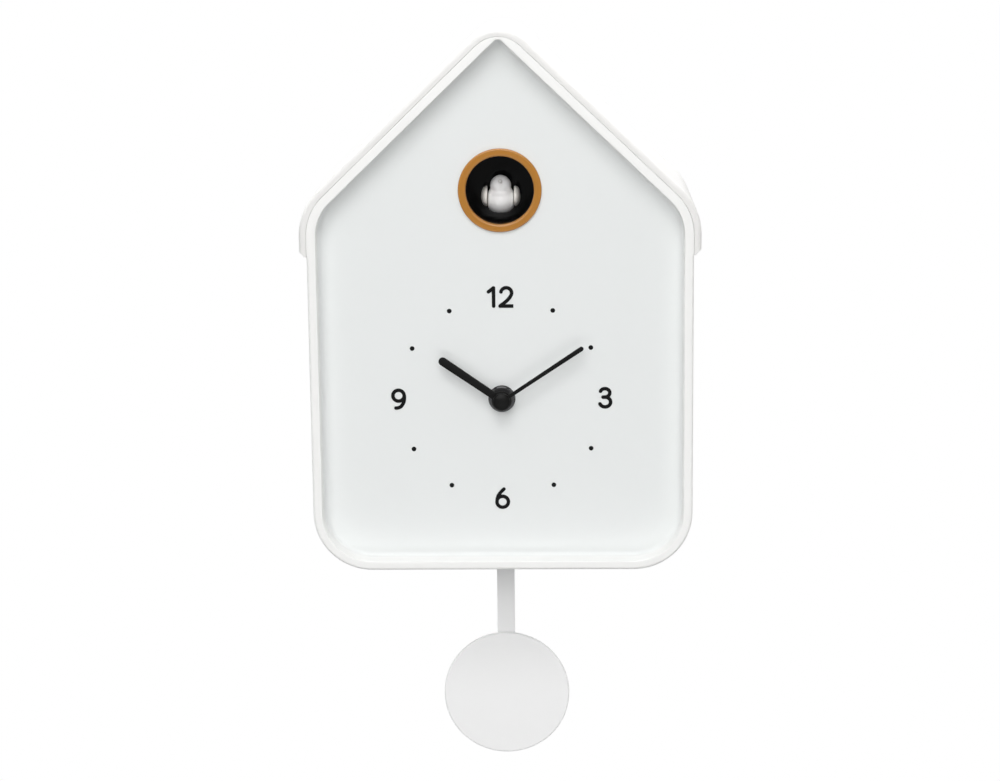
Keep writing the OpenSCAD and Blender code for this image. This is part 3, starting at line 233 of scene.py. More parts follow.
def settle(piece):
    """Turns the piece's modifiers into plain mesh."""
    shaped = piece.evaluated_get(bpy.context.evaluated_depsgraph_get())
    mesh = bpy.data.meshes.new_from_object(shaped)
    piece.modifiers.clear()
    piece.data = mesh
    return piece


def carve(piece, tool, how="DIFFERENCE"):
    """Cuts a tool out of the piece, or joins it on, and puts the tool away."""
    cut = piece.modifiers.new("cut", "BOOLEAN")
    cut.operation, cut.object, cut.solver = how, tool, "EXACT"
    settle(piece)
    bpy.data.objects.remove(tool)
    piece.data.set_sharp_from_angle(angle=math.radians(32))
    return piece


def add_node(tree, kind, **values):
    """Node with its settings, and its inputs by name."""
    node = tree.nodes.new(kind)
    for key, value in values.items():
        if key in node.inputs:
            node.inputs[key].default_value = value
        else:
            setattr(node, key, value)
    return node


def join(tree, out, into):
    tree.links.new(out, into)
    return into


# Effect that the moulded pieces share: faint clouding of the colour, uneven gloss and the
# fine grain of the mould
moulding = bpy.data.node_groups.new("moulding", "ShaderNodeTree")
for socket_name, kind, value in [("Colour", "NodeSocketColor", (0.8, 0.8, 0.8, 1)),
                                 ("Clouding", "NodeSocketFloat", 0.03), ("Gloss", "NodeSocketFloat", 0.3),
                                 ("Unevenness", "NodeSocketFloat", 0.06),
                                 ("Grain Size", "NodeSocketFloat", 0.0008)]:
    socket = moulding.interface.new_socket(socket_name, in_out="INPUT", socket_type=kind)
    socket.default_value = value
for socket_name, kind in [("Colour", "NodeSocketColor"), ("Roughness", "NodeSocketFloat"),
                          ("Height", "NodeSocketFloat")]:
    moulding.interface.new_socket(socket_name, in_out="OUTPUT", socket_type=kind)
inside = add_node(moulding, "NodeGroupInput")
outside = add_node(moulding, "NodeGroupOutput")
place = add_node(moulding, "ShaderNodeTexCoord")
clouds = add_node(moulding, "ShaderNodeTexNoise", Scale=22.0, Detail=3.0, Roughness=0.5)
join(moulding, place.outputs["Object"], clouds.inputs["Vector"])
patches = add_node(moulding, "ShaderNodeTexNoise", Scale=140.0, Detail=4.0, Roughness=0.6)
join(moulding, place.outputs["Object"], patches.inputs["Vector"])
fineness = add_node(moulding, "ShaderNodeMath", operation="DIVIDE")
fineness.inputs[0].default_value = 1.0
join(moulding, inside.outputs["Grain Size"], fineness.inputs[1])
grain = add_node(moulding, "ShaderNodeTexNoise", Detail=2.0, Roughness=0.55)
join(moulding, place.outputs["Object"], grain.inputs["Vector"])
join(moulding, fineness.outputs[0], grain.inputs["Scale"])
darken = add_node(moulding, "ShaderNodeMath", operation="MULTIPLY")
join(moulding, clouds.outputs["Fac"], darken.inputs[0])
join(moulding, inside.outputs["Clouding"], darken.inputs[1])
tinted = add_node(moulding, "ShaderNodeMix", data_type="RGBA", blend_type="MULTIPLY")
tinted_colours = [s for s in tinted.inputs if s.type == "RGBA"]
tinted_colours[1].default_value = (0.35, 0.35, 0.37, 1)
join(moulding, darken.outputs[0], tinted.inputs[0])
join(moulding, inside.outputs["Colour"], tinted_colours[0])
join(moulding, [s for s in tinted.outputs if s.type == "RGBA"][0], outside.inputs["Colour"])
uneven = add_node(moulding, "ShaderNodeMapRange")
uneven.inputs["To Min"].default_value = -1.0
uneven.inputs["To Max"].default_value = 1.0
uneven.inputs["From Min"].default_value = 0.25
uneven.inputs["From Max"].default_value = 0.75
join(moulding, patches.outputs["Fac"], uneven.inputs["Value"])
gloss_shift = add_node(moulding, "ShaderNodeMath", operation="MULTIPLY_ADD")
join(moulding, uneven.outputs["Result"], gloss_shift.inputs[0])
join(moulding, inside.outputs["Unevenness"], gloss_shift.inputs[1])
join(moulding, inside.outputs["Gloss"], gloss_shift.inputs[2])
join(moulding, gloss_shift.outputs[0], outside.inputs["Roughness"])
join(moulding, grain.outputs["Fac"], outside.inputs["Height"])


def moulded(name, colour, gloss, clouding=0.05, unevenness=0.04, grain_size=0.0008, depth=0.00001,
            specular=0.5, coat=0.0, metal=0.0):
    """Moulded plastic or rubber: its own shader, fed by the shared moulding effect."""
    material = bpy.data.materials.new(name)
    material.use_nodes = True
    tree = material.node_tree
    shader = tree.nodes["Principled BSDF"]
    shader.inputs["Specular IOR Level"].default_value = specular
    shader.inputs["Coat Weight"].default_value = coat
    shader.inputs["Coat Roughness"].default_value = 0.06
    shader.inputs["Metallic"].default_value = metal
    effect = add_node(tree, "ShaderNodeGroup")
    effect.node_tree = moulding
    effect.name = "moulding"
    effect.inputs["Colour"].default_value = (*colour, 1)
    effect.inputs["Clouding"].default_value = clouding
    effect.inputs["Gloss"].default_value = gloss
    effect.inputs["Unevenness"].default_value = unevenness
    effect.inputs["Grain Size"].default_value = grain_size
    bump = add_node(tree, "ShaderNodeBump", Strength=1.0, Distance=depth)
    join(tree, effect.outputs["Height"], bump.inputs["Height"])
    join(tree, effect.outputs["Colour"], shader.inputs["Base Color"])
    join(tree, effect.outputs["Roughness"], shader.inputs["Roughness"])
    join(tree, bump.outputs["Normal"], shader.inputs["Normal"])
    return material


def dress(node_name, material):
    """Gives a part that comes from the CAD model its material."""
    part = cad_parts[node_name]
    part.data.materials.clear()
    part.data.materials.append(material)
    part.data.polygons.foreach_set("material_index", [0] * len(part.data.polygons))


def fit_in(piece, body, slot_name, material, *nodes):
    """Puts the finished piece on its body, in place of the CAD parts it stands for."""
    piece.data.materials.clear()
    piece.data.materials.append(material)
    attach(piece, body)
    if nodes:
        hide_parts(*nodes)
    return piece


shell_white = moulded("shell_white", (0.83, 0.83, 0.815), 0.34, clouding=0.02, unevenness=0.03,
                      grain_size=0.0006, depth=0.000004)
# painted shade: the face is painted darker and a shade cooler than the rim in front of it, standing in for
# the shade in the recess
tree = shell_white.node_tree
where = add_node(tree, "ShaderNodeTexCoord")
parts = add_node(tree, "ShaderNodeSeparateXYZ")
join(tree, where.outputs["Object"], parts.inputs[0])
# mask of the painted recess shade: 0 on the rim, 1 on the face behind it
recess_shade_mask = add_node(tree, "ShaderNodeMapRange")
recess_shade_mask.inputs["From Min"].default_value = (face_y - 2.6) / 1000
recess_shade_mask.inputs["From Max"].default_value = (face_y - 0.4) / 1000
join(tree, parts.outputs["Y"], recess_shade_mask.inputs["Value"])
recess_shade_mix = add_node(tree, "ShaderNodeMix", data_type="RGBA")
colour_in = [s for s in recess_shade_mix.inputs if s.type == "RGBA"]
# painted shade: one white plastic, given a lighter rim colour and a darker face colour for the shade of the
# recess
colour_in[0].default_value = (0.92, 0.92, 0.905, 1)
colour_in[1].default_value = (0.82, 0.84, 0.835, 1)
join(tree, recess_shade_mask.outputs["Result"], recess_shade_mix.inputs[0])
join(tree, [s for s in recess_shade_mix.outputs if s.type == "RGBA"][0], tree.nodes["moulding"].inputs["Colour"])

# the rim's outer edge is well rounded where it shows, and nearly sharp under the roof cover;
# the recess has a tighter ridge than the outer walls
covered, bare = ([(roof_t + 0.5, 0.0, None), (roof_t, -0.5, None), (roof_t, -0.8, None),
                  (roof_t, rim_y + r + 0.1, None)]
                 + [(o, y, None) for o, y in rounding(roof_t + r, rim_y + r, r, 180, 270)]
                 for r in (0.3, 1.6))
recess_o, fillet = roof_t + rim_w, 2.3
inner_edge = ([(recess_o - 0.8, rim_y)] + rounding(recess_o - 0.6, rim_y + 0.6, 0.6, 270, 360)
              + [(recess_o, rim_y + 1.2), (recess_o, face_y - 2.5)]
              + [(recess_o + fillet - fillet * math.cos(math.radians(a)),
                  face_y - fillet + fillet * math.sin(math.radians(a)))
                 for a in range(0, 91, 15)]
              + [(recess_o + 2.6, face_y)])
inner_edge = [(o, y, max(0.2, recess_ridge_r + recess_o - o)) for o, y in inner_edge]
inner_section = [(roof_t + wall_t, face_back), (roof_t + wall_t, -0.6), (roof_t + wall_t, -0.4),
                 (roof_t + wall_t - 0.4, 0.0)]
points, faces = [], []
count = len(house_edge(roof_t))
first_covered = len(bend(0, 0, corner_r, -90, 0)) + 1
for under, shown in zip(covered + inner_edge, bare + inner_edge):
    hidden_edge, open_edge = house_edge(under[0], under[2]), house_edge(shown[0], shown[2])
    points += [(hidden_edge[k][0], under[1], hidden_edge[k][1])
               if first_covered <= k < count - first_covered
               else (open_edge[k][0], shown[1], open_edge[k][1]) for k in range(count)]
section_rows = len(covered) + len(inner_edge)
for i in range(section_rows - 1):
    faces += [(i * count + k, i * count + (k + 1) % count, (i + 1) * count + (k + 1) % count,
               (i + 1) * count + k)
              for k in range(count)]
inner_start = len(points)
for o, y in inner_section:
    points += [(x, y, z) for x, z in house_edge(o)]
for i in range(len(inner_section) - 1):
    a, b = inner_start + i * count, inner_start + (i + 1) * count
    faces += [(a + k, b + k, b + (k + 1) % count, a + (k + 1) % count) for k in range(count)]
last = inner_start + (len(inner_section) - 1) * count
faces += [(k, (k + 1) % count, last + (k + 1) % count, last + k) for k in range(count)]
# the face between the walls, with holes for the movement's neck and for the opening
holes = [(0.0, dial_z, 4.1, 64), (0.0, cuckoo_z, 20.1, 120)]
hole_rings = {}
for y, ring_first in ((face_y, (section_rows - 1) * count), (face_back, inner_start)):
    loops = [[(points[ring_first + k], ring_first + k) for k in range(count)]]
    for x, z, r, steps in holes:
        first = len(points)
        circle = [(x + r * math.cos(2 * math.pi * k / steps), y, z + r * math.sin(2 * math.pi * k / steps))
                  for k in range(steps)]
        points += circle
        hole_rings.setdefault((x, z), []).append((first, steps))
        loops.append([(p, first + k) for k, p in enumerate(circle)])
    flat = [i for loop in loops for _, i in loop]
    triangles = tessellate_polygon([[Vector((p[0], p[2], 0)) for p, _ in loop] for loop in loops])
    faces += [(flat[a], flat[b], flat[c]) for a, b, c in triangles]
for (front, steps), (rear, _) in hole_rings.values():
    faces += [(front + k, front + (k + 1) % steps, rear + (k + 1) % steps, rear + k) for k in range(steps)]
house = make_piece("front_shell_moulding", points, faces)

# bosses for the cover screws and posts behind the face, each with its blind hole
boss_x, in_z = roof_w / 2 - roof_t - wall_t - 3.6, under_z + wall_t
posts = [(x, z, -20.5, -2.5, 4.5, 1.25, 14) for x, z in
         ((-boss_x, in_z + corner_r), (boss_x, in_z + corner_r), (-boss_x, dial_z + 58),
          (boss_x, dial_z + 58),
          (0, ridge_z - roof_t - wall_t - 3.5))]
posts += [(25 * math.cos(math.radians(a)), cuckoo_z + 25 * math.sin(math.radians(a)), face_back - 1, -62,
           3.2, 1.1, 9)
          for a in (90, 210, 330)]
pivot_z = dial_z - 30
posts += [(s * 27, pivot_z - 15, face_back - 1, -73, 3.2, 1.1, 9) for s in (-1, 1)]
for x, z, y0, y1, r, hole_r, deep in posts:
    post = turned("post", [(0, y0), (r, y0), (r, y1 - 0.3), (r - 0.3, y1), (hole_r + 0.2, y1),
                           (hole_r, y1 - 0.2),
                           (hole_r, y1 - deep), (0, y1 - deep - 0.5)], x, z, steps=32)
    carve(house, post, "UNION")

# slot in the bottom for the pendulum, and holes in the slopes for the roof screws
slot_hw, slot_y = 15.49, (-57.5, -47.5)
corners = [(x, y, z) for x in (-slot_hw, slot_hw) for y in slot_y for z in (under_z - 3, in_z + 2)]
slot_tool = make_piece("slot_tool", corners,
                       [(0, 1, 3, 2), (4, 6, 7, 5), (0, 4, 5, 1), (2, 3, 7, 6), (0, 2, 6, 4), (1, 5, 7, 3)])
carve(house, slot_tool)
for side in (-1, 1):
    for y in (face_back + 12, -24):
        drill = turned("drill", [(0, -3), (1.5, -3), (1.5, 6), (0, 6)], 0, 0, steps=24)
        z = ridge_sharp - (roof_t + wall_t) / math.cos(slope) - roof_w / 4 * math.tan(slope)
        drill.data.transform(Matrix.Translation((side * roof_w / 4000, y / 1000, z / 1000))
                             @ Matrix.Rotation(side * slope, 4, "Y") @ Matrix.Rotation(math.pi / 2, 4, "X"))
        carve(house, drill)
fit_in(house, "housing", "shell_white", shell_white, "front_shell")

# ---- Roof cover ------------------------------------------------------------------------
# A second white moulding that wraps the slopes and eaves and clips a little way down the
# sides. Its front edge is softly rounded and its lower ends are cut off at a slant.

roof_white = moulded("roof_white", (0.825, 0.82, 0.805), 0.36, clouding=0.02, unevenness=0.03,
                     grain_size=0.0006, depth=0.000004)
cover_in, cover_rear, end_z, slant = roof_t - 0.1, -2.0, eave_mid[1] - eave_drop, 3.2
section = (rounding(2.2, rim_y + 2.2, 2.2, 180, 270, 8)
           + [(2.35, rim_y), (slant, rim_y), (cover_in - 0.12, rim_y)]
           + [(cover_in - 0.07, rim_y + 0.01), (cover_in - 0.02, rim_y + 0.05), (cover_in, rim_y + 0.12),
              (cover_in, rim_y + 0.6)]
           + [(cover_in, cover_rear - 0.5), (cover_in, cover_rear - 0.3), (cover_in - 0.3, cover_rear)]
           + [(slant, cover_rear), (1.0, cover_rear)]
           + rounding(0.8, cover_rear - 0.8, 0.8, 90, 180, 4)
           + [(0.0, cover_rear - 1.0), (0.0, rim_y + 2.5)])
points, faces = [], []
paths = []
for o, y in section:
    edge = roof_edge(o)
    low = end_z + max(0.0, slant - o)
    half = roof_w / 2 - o
    paths.append([(half, y, low)] + [(half, y, eave_mid[1] - 0.6)] + [(x, y, z) for x, z in edge]
                 + [(-half, y, eave_mid[1] - 0.6)] + [(-half, y, low)])
stations = len(paths[0])
for path in paths:
    points += path
rows = len(section)
for i in range(rows):
    j = (i + 1) % rows
    faces += [(i * stations + k, i * stations + k + 1, j * stations + k + 1, j * stations + k)
              for k in range(stations - 1)]
slanted = [i for i in range(rows) if section[i][0] <= slant + 1e-9]
square = [i for i in range(rows) if section[i][0] >= slant - 1e-9]
for k in (0, stations - 1):
    faces.append([i * stations + k for i in slanted])
    faces.append([i * stations + k for i in square])
roof = make_piece("roof_cover_moulding", points, faces)
soften = roof.modifiers.new("soften", "BEVEL")
soften.width, soften.segments = 0.00025, 2
soften.limit_method, soften.angle_limit = "ANGLE", math.radians(40)
settle(roof)
fit_in(roof, "housing", "roof_white", roof_white, "roof_cover")

# ---- Numbers and dots of the dial ------------------------------------------------------
# Black ink, printed thick on the face: 12, 3, 6 and 9 in round-ended strokes, and a dot for
# each other hour.

ink_black = moulded("ink_black", (0.003, 0.003, 0.0033), 0.5, clouding=0.2, unevenness=0.05,
                    grain_size=0.0003,
                    depth=0.000006, specular=0.15)
ink_t, stroke_r = 0.22, 0.97


def curve_through(knots, per_gap=10):
    """Smooth line through the knots."""
    ends = [knots[0]] + list(knots) + [knots[-1]]
    line = []
    for i in range(1, len(ends) - 2):
        p0, p1, p2, p3 = ends[i - 1], ends[i], ends[i + 1], ends[i + 2]
        for s in range(per_gap):
            t = s / per_gap
            line.append(tuple(0.5 * (2 * b + (c - a) * t + (2 * a - 5 * b + 4 * c - d) * t * t
                                     + (3 * b - a - 3 * c + d) * t ** 3)
                              for a, b, c, d in zip(p0, p1, p2, p3)))
    return line + [knots[-1]]


def oval(x, z, rx, rz, start, stop, steps=28):
    """Points of an oval arc, its angles in degrees."""
    return [(x + rx * math.cos(math.radians(start + (stop - start) * i / steps)),
             z + rz * math.sin(math.radians(start + (stop - start) * i / steps))) for i in range(steps + 1)]


def ink_stroke(line, thick, closed=False, square_end=False):
    """Points and faces of one stroke that stands thick in front of the face."""
    count = len(line)
    left, right_side = [], []
    for i in range(count):
        a = line[i - 1] if closed or i > 0 else line[0]
        b = line[(i + 1) % count] if closed or i < count - 1 else line[-1]
        dx, dz = b[0] - a[0], b[1] - a[1]
        length = math.hypot(dx, dz)
        nx, nz = -dz / length * stroke_r, dx / length * stroke_r
        left.append((line[i][0] + nx, line[i][1] + nz))
        right_side.append((line[i][0] - nx, line[i][1] - nz))
    if closed:
        flat = left + right_side
        tops = [(k, (k + 1) % count, count + (k + 1) % count, count + k) for k in range(count)]
        walls = ([(k, (k + 1) % count) for k in range(count)]
                 + [(count + (k + 1) % count, count + k) for k in range(count)])
    else:
        (x0, z0), (x1, z1) = line[0], line[-1]
        at_start = math.degrees(math.atan2(left[0][1] - z0, left[0][0] - x0))
        at_end = math.degrees(math.atan2(right_side[-1][1] - z1, right_side[-1][0] - x1))
        cap_start = bend(x0, z0, stroke_r, at_start, at_start + 180, 14)[1:-1]
        cap_end = [] if square_end else bend(x1, z1, stroke_r, at_end, at_end + 180, 14)[1:-1]
        flat = left + right_side + cap_start + cap_end
        tops = [(k, k + 1, count + k + 1, count + k) for k in range(count - 1)]
        first_cap, second_cap = 2 * count, 2 * count + len(cap_start)
        tops.append([0] + list(range(first_cap, second_cap)) + [count])
        loop = list(range(first_cap, second_cap)) + list(range(count, 2 * count))
        if cap_end:
            tops.append([2 * count - 1] + list(range(second_cap, len(flat))) + [count - 1])
            loop += list(range(second_cap, len(flat)))
        loop += list(range(count - 1, -1, -1))
        walls = [(loop[k], loop[(k + 1) % len(loop)]) for k in range(len(loop))]
    n = len(flat)
    faces = [list(t) for t in tops] + [[i + n for i in reversed(t)] for t in tops]
    faces += [(a, b, b + n, a + n) for a, b in walls]
    return [(x, -thick, z) for x, z in flat] + [(x, 0.05, z) for x, z in flat], faces


numbers = {
    "12": (-0.35, 56.4, [(curve_through([(-6.2, 2.75), (-4.9, 3.75), (-3.55, 4.85)], 4), False, False),
                        ([(-3.5, 4.75), (-3.5, 0.0), (-3.5, -4.9)], False, False),
                        (oval(3.2, 2.1, 2.85, 2.8, 168, -22)
                         + curve_through([(5.4, 0.1), (3.2, -2.3), (0.0, -4.75)], 8)[2:],
                         False, False),
                        ([(-0.1, -4.9), (3.0, -4.9), (6.9, -4.9)], False, True)]),
    "3": (56.4, 0.1, [(oval(0.0, 2.72, 2.55, 2.3, 158, -90) + [(-0.4, 0.42), (-1.05, 0.42)], False, False),
                      (oval(0.05, -2.25, 2.95, 2.65, 90, -158), False, False)]),
    "6": (-0.2, -56.3,
          [([(3.0 * math.cos(math.radians(a)), -1.85 + 2.95 * math.sin(math.radians(a)))
             for a in range(0, 360, 8)],
           True, False),
          (curve_through([(-2.95, -2.1), (-2.85, -0.5), (-2.2, 1.5), (-0.95, 3.3), (0.72, 4.95)]), False,
           False)]),
    "9": (-56.6, 0.0,
          [([(-0.1 + 3.0 * math.cos(math.radians(a)), 1.85 + 2.95 * math.sin(math.radians(a)))
             for a in range(0, 360, 8)],
            True, False),
           (curve_through([(2.9, 2.2), (3.0, 0.8), (2.65, -1.6), (1.3, -3.9), (-0.3, -4.75), (-1.6, -4.9)]),
            False, False)]),
}
for number, (x_mid, z_mid, strokes) in numbers.items():
    points, faces = [], []
    grown = 1.06 if number == "6" else 1.03
    for level_no, (line, closed, square_end) in enumerate(strokes):
        line = [(x * grown, z * grown) for x, z in line]
        some, shapes = ink_stroke(line, ink_t - 0.012 * level_no, closed, square_end)
        faces += [[i + len(points) for i in face] for face in shapes]
        points += [(x + x_mid, y + face_y, z + z_mid + dial_z) for x, y, z in some]
    mark = make_piece("dial_number_" + number, points, faces)
    fit_in(mark, "housing", "hand_black", ink_black)

# the dots stand on a ring of twelve places, without the four that hold a number
dots_tree = bpy.data.node_groups.new("hour_dots", "GeometryNodeTree")
for socket_name, kind in [("Ring Radius", "NodeSocketFloat"), ("Dot Radius", "NodeSocketFloat"),
                          ("Dot Height", "NodeSocketFloat"),
                          ("Middle", "NodeSocketVector"), ("Ink", "NodeSocketMaterial")]:
    dots_tree.interface.new_socket(socket_name, in_out="INPUT", socket_type=kind)
dots_tree.interface.new_socket("Geometry", in_out="OUTPUT", socket_type="NodeSocketGeometry")
given = add_node(dots_tree, "NodeGroupInput")
result = add_node(dots_tree, "NodeGroupOutput")
order = add_node(dots_tree, "GeometryNodeInputIndex")
angle = add_node(dots_tree, "ShaderNodeMath", operation="MULTIPLY")
angle.inputs[1].default_value = math.pi / 6
join(dots_tree, order.outputs[0], angle.inputs[0])
sine = add_node(dots_tree, "ShaderNodeMath", operation="SINE")
cosine = add_node(dots_tree, "ShaderNodeMath", operation="COSINE")
join(dots_tree, angle.outputs[0], sine.inputs[0])
join(dots_tree, angle.outputs[0], cosine.inputs[0])
place = add_node(dots_tree, "ShaderNodeCombineXYZ")
join(dots_tree, sine.outputs[0], place.inputs["X"])
join(dots_tree, cosine.outputs[0], place.inputs["Z"])
out_along = add_node(dots_tree, "ShaderNodeVectorMath", operation="SCALE")
join(dots_tree, place.outputs[0], out_along.inputs[0])
join(dots_tree, given.outputs["Ring Radius"], out_along.inputs["Scale"])
at = add_node(dots_tree, "ShaderNodeVectorMath", operation="ADD")
join(dots_tree, out_along.outputs[0], at.inputs[0])
join(dots_tree, given.outputs["Middle"], at.inputs[1])
places = add_node(dots_tree, "GeometryNodePoints", Count=12)
join(dots_tree, at.outputs[0], places.inputs["Position"])
third = add_node(dots_tree, "ShaderNodeMath", operation="MODULO")
third.inputs[1].default_value = 3.0
join(dots_tree, order.outputs[0], third.inputs[0])
between = add_node(dots_tree, "ShaderNodeMath", operation="GREATER_THAN")
between.inputs[1].default_value = 0.5
join(dots_tree, third.outputs[0], between.inputs[0])
dome = add_node(dots_tree, "GeometryNodeMeshUVSphere", Segments=32, Rings=16)
join(dots_tree, given.outputs["Dot Radius"], dome.inputs["Radius"])
flatten = add_node(dots_tree, "ShaderNodeMath", operation="DIVIDE")
join(dots_tree, given.outputs["Dot Height"], flatten.inputs[0])
join(dots_tree, given.outputs["Dot Radius"], flatten.inputs[1])
squat = add_node(dots_tree, "ShaderNodeCombineXYZ")
squat.inputs["X"].default_value = 1.0
squat.inputs["Z"].default_value = 1.0
join(dots_tree, flatten.outputs[0], squat.inputs["Y"])
put = add_node(dots_tree, "GeometryNodeInstanceOnPoints")
join(dots_tree, places.outputs[0], put.inputs["Points"])
join(dots_tree, between.outputs[0], put.inputs["Selection"])
join(dots_tree, dome.outputs["Mesh"], put.inputs["Instance"])
join(dots_tree, squat.outputs[0], put.inputs["Scale"])
real = add_node(dots_tree, "GeometryNodeRealizeInstances")
join(dots_tree, put.outputs[0], real.inputs[0])
inked = add_node(dots_tree, "GeometryNodeSetMaterial")
join(dots_tree, real.outputs[0], inked.inputs["Geometry"])
join(dots_tree, given.outputs["Ink"], inked.inputs["Material"])
join(dots_tree, inked.outputs[0], result.inputs[0])


def grow(name, tree, **values):
    """Plain mesh piece from a node tree and the values of its named inputs."""
    piece = bpy.data.objects.new(name, bpy.data.meshes.new(name))
    bpy.context.scene.collection.objects.link(piece)
    maker = piece.modifiers.new("maker", "NODES")
    maker.node_group = tree
    for item in tree.interface.items_tree:
        if item.item_type == "SOCKET" and item.in_out == "INPUT":
            key = item.name.replace(" ", "_").lower()
            if key in values:
                maker[item.identifier] = values[key]
    bpy.context.view_layer.update()
    return settle(piece)


dots = grow("dial_dots", dots_tree, ring_radius=0.0563, dot_radius=0.00131, dot_height=0.00024,
            middle=(0.0, face_y / 1000, dial_z / 1000), ink=ink_black)
dots.data.shade_smooth()
fit_in(dots, "housing", "hand_black", ink_black)

# ---- Cuckoo opening: ring, sleeve, back plate, sensor ----------------------------------
# A glossy amber ring is glued into the face round a glossy black sleeve. The sleeve's flange
# and the back plate are screwed to three posts; a light sensor sits in the sleeve's floor.

amber = moulded("amber", (0.47, 0.20, 0.030), 0.24, clouding=0.12, unevenness=0.03, grain_size=0.0006,
                depth=0.000003,
                coat=0.35)
gloss_black = moulded("gloss_black", (0.0045, 0.0045, 0.005), 0.16, clouding=0.2, unevenness=0.03,
                      grain_size=0.0015,
                      depth=0.000004, specular=0.3, coat=0.12)
ring_in, ring_out, sleeve_out, flange_r = 18.4, 22.6, 20.0, 28.5
ring = turned("opening_ring_turned",
              [(ring_in, face_back), (sleeve_out, face_back), (sleeve_out, face_y), (ring_out, face_y),
               (ring_out, face_y - 0.7)]
              + [(ring_out - 0.8 + 0.8 * math.cos(math.radians(a)),
                  face_y - 0.8 - 0.8 * math.sin(math.radians(a)))
                 for a in range(0, 91, 15)]
              + [(ring_out - 1.1, face_y - 1.6), (ring_in + 1.3, face_y - 1.6)]
              + [(ring_in + 1.1 - 1.1 * math.sin(math.radians(a)),
                  face_y - 0.5 - 1.1 * math.cos(math.radians(a)))
                 for a in range(0, 91, 15)]
              + [(ring_in, face_y - 0.3)], 0, cuckoo_z, steps=160, closed=True)
fit_in(ring, "housing", "amber", amber, "opening_ring")

sleeve = turned("sleeve_turned",
                [(ring_in, face_back + 0.2), (ring_in + 0.15, face_back + 0.05),
                 (sleeve_out - 0.15, face_back + 0.05),
                 (sleeve_out, face_back + 0.2), (sleeve_out, -62.2), (sleeve_out + 0.2, -62.0),
                 (flange_r - 0.3, -62.0),
                 (flange_r, -61.7), (flange_r, -60.0), (ring_in, -60.0)], 0, cuckoo_z, steps=128,
                closed=True)
sensor_low, sensor_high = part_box("light_sensor")
sensor_y = (sensor_low.y + sensor_high.y) * 500
well = turned("well", [(0, 0), (1.6, 0), (1.6, 4.6), (0, 4.6)], 0, 0, steps=32)
well.data.transform(Matrix.Translation((0, sensor_y / 1000, (cuckoo_z - sleeve_out - 1) / 1000))
                    @ Matrix.Rotation(math.pi / 2, 4, "X"))
carve(sleeve, well)
for a in (90, 210, 330):
    x, z = 25 * math.cos(math.radians(a)), cuckoo_z + 25 * math.sin(math.radians(a))
    carve(sleeve, turned("clearance", [(0, -64), (1.4, -64), (1.4, -58), (0, -58)], x, z, steps=32))
fit_in(sleeve, "housing", "gloss_black", gloss_black, "niche_sleeve")
dress("niche_backplate", gloss_black)

dark_lens = moulded("dark_lens", (0.02, 0.016, 0.02), 0.08, clouding=0.1, unevenness=0.02, coat=0.6)
dress("light_sensor", dark_lens)

# ---- Bird: body, beak and wings --------------------------------------------------------
# A white moulded bird with a round head, a flat underside and a short tail, a small beak
# pressed into its head, and a cream wing on a peg at each side.

bird_white = moulded("bird_white", (0.95, 0.95, 0.95), 0.36, clouding=0.02, unevenness=0.04,
                     grain_size=0.0004,
                     depth=0.000005)
wing_cream = moulded("wing_cream", (0.93, 0.90, 0.85), 0.38, clouding=0.04, unevenness=0.04,
                     grain_size=0.0004,
                     depth=0.000005)
beak_grey = moulded("beak_grey", (0.80, 0.79, 0.78), 0.4, clouding=0.05, grain_size=0.0003)
bird_low, bird_high = (v * 1000 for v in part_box("bird_body"))
head_r, head_y, head_z = 5.8, bird_low.y + 8.0, bird_high.z - 5.9
bird_mesh = bpy.data.meshes.new("bird_form")
bm = bmesh.new()
lumps = [((0, head_y, head_z + 0.1), (head_r, head_r, head_r)),
         ((0, head_y + 1.3, head_z - 4.0), (6.6, 6.8, 5.4)),
         ((0, head_y + 2.4, bird_low.z + 6.8), (8.4, 8.0, 7.9)),
         ((0, head_y + 6.5, bird_low.z + 8.3), (4.6, 5.2, 4.6)),
         ((0, bird_high.y - 4.8, bird_low.z + 9.4), (3.4, 4.6, 1.9))]
for middle, radii in lumps:
    bmesh.ops.create_uvsphere(bm, u_segments=40, v_segments=24, radius=1.0,
                              matrix=Matrix.Translation(middle) @ Matrix.Diagonal((*radii, 1)))
bm.to_mesh(bird_mesh)
bm.free()
bird = bpy.data.objects.new("bird_body_moulding", bird_mesh)
bpy.context.scene.collection.objects.link(bird)
melt = bird.modifiers.new("melt", "REMESH")
melt.mode, melt.voxel_size = "VOXEL", 0.3
ease = bird.modifiers.new("ease", "SMOOTH")
ease.factor, ease.iterations = 0.6, 14
settle(bird)
for vertex in bird.data.vertices:
    vertex.co.z = max(vertex.co.z, bird_low.z + 0.05)
    vertex.co.x = max(-6.95, min(6.95, vertex.co.x))
round_off = bird.modifiers.new("round_off", "SMOOTH")
round_off.factor, round_off.iterations = 0.5, 2
settle(bird)
bird.data.transform(Matrix.Diagonal((0.001, 0.001, 0.001, 1)))
bird.data.shade_smooth()
fit_in(bird, "bird", "bird_white", bird_white, "bird_body")

beak_low, beak_high = (v * 1000 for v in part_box("bird_beak"))
beak_z = (beak_low.z + beak_high.z) / 2
beak = turned("beak_turned", [(0, beak_high.y), (0.85, beak_high.y), (0.9, beak_low.y + 2.0),
                              (1.15, beak_low.y + 1.7),
                              (1.2, beak_low.y + 1.4), (1.0, beak_low.y + 0.9), (0.62, beak_low.y + 0.35),
                              (0.28, beak_low.y + 0.06), (0, beak_low.y)], 0, beak_z, steps=40, crease=50)
fit_in(beak, "bird", "beak_grey", beak_grey, "bird_beak")

